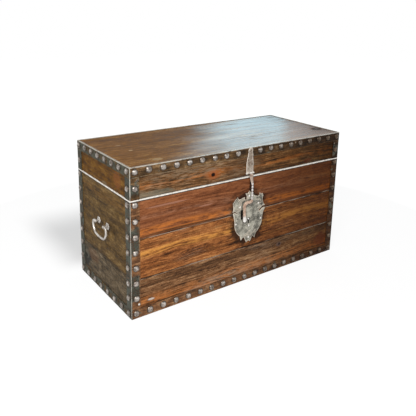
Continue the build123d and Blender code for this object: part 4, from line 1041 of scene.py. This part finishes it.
wave = np.abs(np.sin((below - knop_start) / knop_pitch * np.pi))
knop = np.where(knopped, wave * 1.8 * mm - 1.1 * mm, 0)
swell = hammered(len(rows), 0.025, 63, 12, 0.05, 0.006)
arm_shell = carried(rows[:, :3], np.array([0, -1, 0]), (rows[:, 3] + knop) * swell, (rows[:, 4] + knop) * swell,
                    np.clip(rows[:, 5], 2, 6), 24)
knuckle = collar(3.8 * mm, 17.2 * mm, hasp_pin, 1.81 * mm, 3.6 * mm)
arm = new_piece("forged_arm", [arm_shell, knuckle], arm_iron, "hasp", "hasp_arm")
trough = np.zeros(len(arm.data.vertices))
trough[:len(rows) * 24] = np.repeat(np.where(knopped, np.clip(1 - wave * 1.6, 0, 1), 0), 24)
store(arm.data, "groove", trough)


# %% Round the tip of the drill pin and the head of the nail under it
def button(name, x, z, radius, root, out):
    """A round head that stands out towards the front: radius * sqrt(1 - t^2), t from 0 to 1 over its outer half."""
    share = np.linspace(0, 1, 11)
    places = np.stack([np.full(11, x), plate_face + root - out * share, np.full(11, z)], 1)
    taper = radius * np.sqrt(np.clip(1 - ((share - 0.5) / 0.505).clip(0) ** 2, 0.01, 1))
    new_piece(name, [carried(places, upward, taper, taper, np.full(11, 2.0))], bright_pin_iron, "base")


plate_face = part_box("lock_plate")[0].y
button("drill_pin_tip", 9.5 * mm, 265.5 * mm, 3.1 * mm, 3.0 * mm, 4.2 * mm)
button("plate_nail_head", 11.0 * mm, 237.2 * mm, 3.8 * mm, 1.0 * mm, 2.6 * mm)

# %% Bend the bails
rod = 4.3
half_bail = [  # millimetres: across, up, radius
    (31.0, 0, 2.6), (31.6, 0, 2.9), (40.0, 0, 2.9), (40.8, 0, rod * 0.95), (44.0, 0, rod), (49.0, -0.6, rod),
    (53.5, -4.0, rod), (55.5, -10.0, rod), (56.0, -16.5, rod), (54.4, -25.0, rod * 0.98), (49.6, -34.0, rod * 0.97),
    (42.5, -42.5, rod), (34.0, -48.2, rod), (24.0, -50.4, rod), (10.0, -51.0, rod),
]
bail_table = np.array(half_bail + [(-across, up, radius) for across, up, radius in reversed(half_bail)]) * mm
for side, sign in (("left", -1), ("right", 1)):
    pivot = joints[f"{side}_bail_swing"]["pos_m"]
    rows = np.column_stack([np.full(len(bail_table), pivot[0]), bail_table])
    rows[:, 2] += pivot[2]
    rows = smooth_rows(rows, 260)
    radius = np.minimum(rows[:, 3] * hammered(len(rows), 0.03, 70 + sign, 10, 0.06, 0.008), rod * mm)
    shell = carried(rows[:, :3], np.array([sign, 0, 0]), radius, radius, np.full(len(rows), 2.0), 16)
    new_piece(f"{side}_bail_rod", [shell], handle_iron, f"{side}_bail", f"{side}_handle_bail")

# %% [markdown]
# ## Rosettes
#
# Under each eye sits a washer cut to petals and dished. In polar terms its radius swings six times round, and its
# height falls from the middle to the rim with a groove between petals. One formula over radius and angle gives it.

# %% Dish the rosettes
def rosette(centre, outward, sideways, around=72):
    """Radius R = (11.6 + 2.4 p) s and height = 0.6 + 1.1 (1 - s^4) + 0.7 p sin(pi s) in millimetres.

    p = |cos 3a|^0.8 is the petal and s the share of the radius, from the bore to the rim.
    """
    share = np.linspace(0.30, 1.0, 9)[:, None]
    angle = np.arange(around) * 2 * np.pi / around
    petal = np.abs(np.cos(3 * angle)) ** 0.8
    radius = (11.6 + 2.4 * petal) * mm * share
    height = (0.6 + 1.1 * (1 - share ** 4) + 0.7 * petal * np.sin(np.pi * share)) * mm
    radius, height = np.vstack([radius, radius[[-1, 0]]]), np.vstack([height, np.zeros((2, around))])
    points = (centre + (radius * np.cos(angle))[..., None] * sideways
              + (radius * np.sin(angle))[..., None] * upward + height[..., None] * outward)
    return points.reshape(-1, 3), [grid_faces(len(points), around, True)]


rosette_low, rosette_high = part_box("handle_rosettes")
post_half_span = 37 * mm
shells = []
for sign in (-1, 1):
    for along in (-post_half_span, post_half_span):
        centre = np.array([sign * wood_half_width, along, (rosette_low.z + rosette_high.z) / 2])
        shells.append(rosette(centre, np.array([sign, 0, 0]), np.array([0, sign, 0])))
new_piece("petal_washers", shells, handle_iron, "base", "handle_rosettes")

# %% [markdown]
# ## Camera, floor and light
#
# The chest is seen from its front left corner, a little from above. The floor is white, with a soft shadow painted
# behind the chest, and the light is a large soft lamp on the left, a pale window behind the right end, which the
# varnished top mirrors, and an even sky.

# %% Camera
view_side, view_rise, view_roll = math.radians(-35.823), math.radians(14.010), math.radians(1.208)
view_distance, view_target = 2.151118, Vector((-0.036235, 0.0, 0.544461))
focal_pixels, frame_pixels, axis_row = 523.280, 416, 140.0
back = Vector((math.sin(view_side) * math.cos(view_rise), -math.cos(view_side) * math.cos(view_rise),
               math.sin(view_rise)))
right = (-back).cross(Vector((0, 0, 1))).normalized()
up = right.cross(-back)
right, up = (right * math.cos(view_roll) + up * math.sin(view_roll),
             up * math.cos(view_roll) - right * math.sin(view_roll))
camera = bpy.data.objects.new("camera", bpy.data.cameras.new("camera"))
bpy.context.scene.collection.objects.link(camera)
turn = Matrix((right, up, back)).transposed().to_4x4()
camera.matrix_world = Matrix.Translation(view_target + back * view_distance) @ turn
camera.data.sensor_width = 36.0
camera.data.lens = camera.data.sensor_width * focal_pixels / frame_pixels
camera.data.shift_y = (axis_row - frame_pixels / 2) / frame_pixels
camera.data.clip_end = 60.0
bpy.context.scene.camera = camera
print("camera at", [round(c, 3) for c in camera.location], "lens", round(camera.data.lens, 2))

# %% Floor
floor_half, floor_white, floor_glow = 9.0, 0.9, 1.08
mesh = bpy.data.meshes.new("floor")
mesh.from_pydata([(x * floor_half, y * floor_half, 0) for x, y in ((-1, -1), (1, -1), (1, 1), (-1, 1))], [],
                 [(0, 1, 2, 3)])
studio_floor = bpy.data.objects.new("studio_floor", mesh)
bpy.context.scene.collection.objects.link(studio_floor)
paper = Finish("floor paint")
paper.tree.nodes.remove(paper.shader)
matt = paper.node("ShaderNodeBsdfDiffuse", Color=(floor_white, floor_white, floor_white, 1))
glow = paper.node("ShaderNodeEmission", Strength=floor_glow)
seen = Mask(paper.tree, paper.node("ShaderNodeLightPath").outputs["Is Camera Ray"])
# the camera sees the paper glow, less of it in a patch behind the chest, which paints a soft shadow there
painted_shadow_patch = paper.y.between(0.20, 0.34) * paper.y.between(1.00, 0.60) * paper.axes["|x|"].between(0.62, 0.44)
open_floor = (0.82 - painted_shadow_patch * 0.66).most(away(paper.x, paper.y, (0, 0)).between(0.75, 1.5))
blend = paper.node("ShaderNodeMixShader")
for target, value in zip(blend.inputs, (seen * open_floor, matt.outputs[0], glow.outputs[0])):
    plug(paper.tree, target, value)
plug(paper.tree, paper.output.inputs[0], blend.outputs[0])
mesh.materials.append(paper.material)
print("floor laid")

# %% World
ambient, white = 0.42, 1.0
world = bpy.data.worlds.new("studio")
bpy.context.scene.world = world
world.use_nodes = True
tree = world.node_tree
tree.nodes.clear()
path = tree.nodes.new("ShaderNodeLightPath")
camera_ray, glossy_ray, clear_ray = (Mask(tree, path.outputs[f"Is {kind} Ray"])
                                     for kind in ("Camera", "Glossy", "Transmission"))
sky = tree.nodes.new("ShaderNodeBackground")
sky.inputs["Color"].default_value = (1, 1, 1, 1)
plug(tree, sky.inputs["Strength"], camera_ray.most(glossy_ray).most(clear_ray) * (white - ambient) + ambient)
tree.links.new(sky.outputs[0], tree.nodes.new("ShaderNodeOutputWorld").inputs[0])
bpy.context.scene.view_settings.view_transform = "Standard"
print("world strength", ambient, "and", white, "where it is seen")


# %% Lamps
def soft_lamp(name, place, aim, width, height, power, colour=(1.0, 1.0, 1.0)):
    """A large area lamp that faces its aim and doesn't show itself to the camera."""
    data = bpy.data.lights.new(name, "AREA")
    data.shape = "RECTANGLE"
    data.size, data.size_y = width, height
    data.energy, data.color = power, colour
    lamp = bpy.data.objects.new(name, data)
    bpy.context.scene.collection.objects.link(lamp)
    backward = (Vector(place) - Vector(aim)).normalized()
    lamp.matrix_world = Matrix.Translation(place) @ backward.to_track_quat("Z", "Y").to_matrix().to_4x4()
    lamp.visible_camera = False


soft_lamp("left_softbox", (-1.9, -1.9, 1.9), (-0.2, 0.0, 0.3), 1.2, 1.2, 62)
soft_lamp("window", (2.06, 2.52, 1.28), (0.2, 0.0, 0.5), 1.15, 0.9, 5.0, (0.37, 0.81, 1.0))
print("stage set")
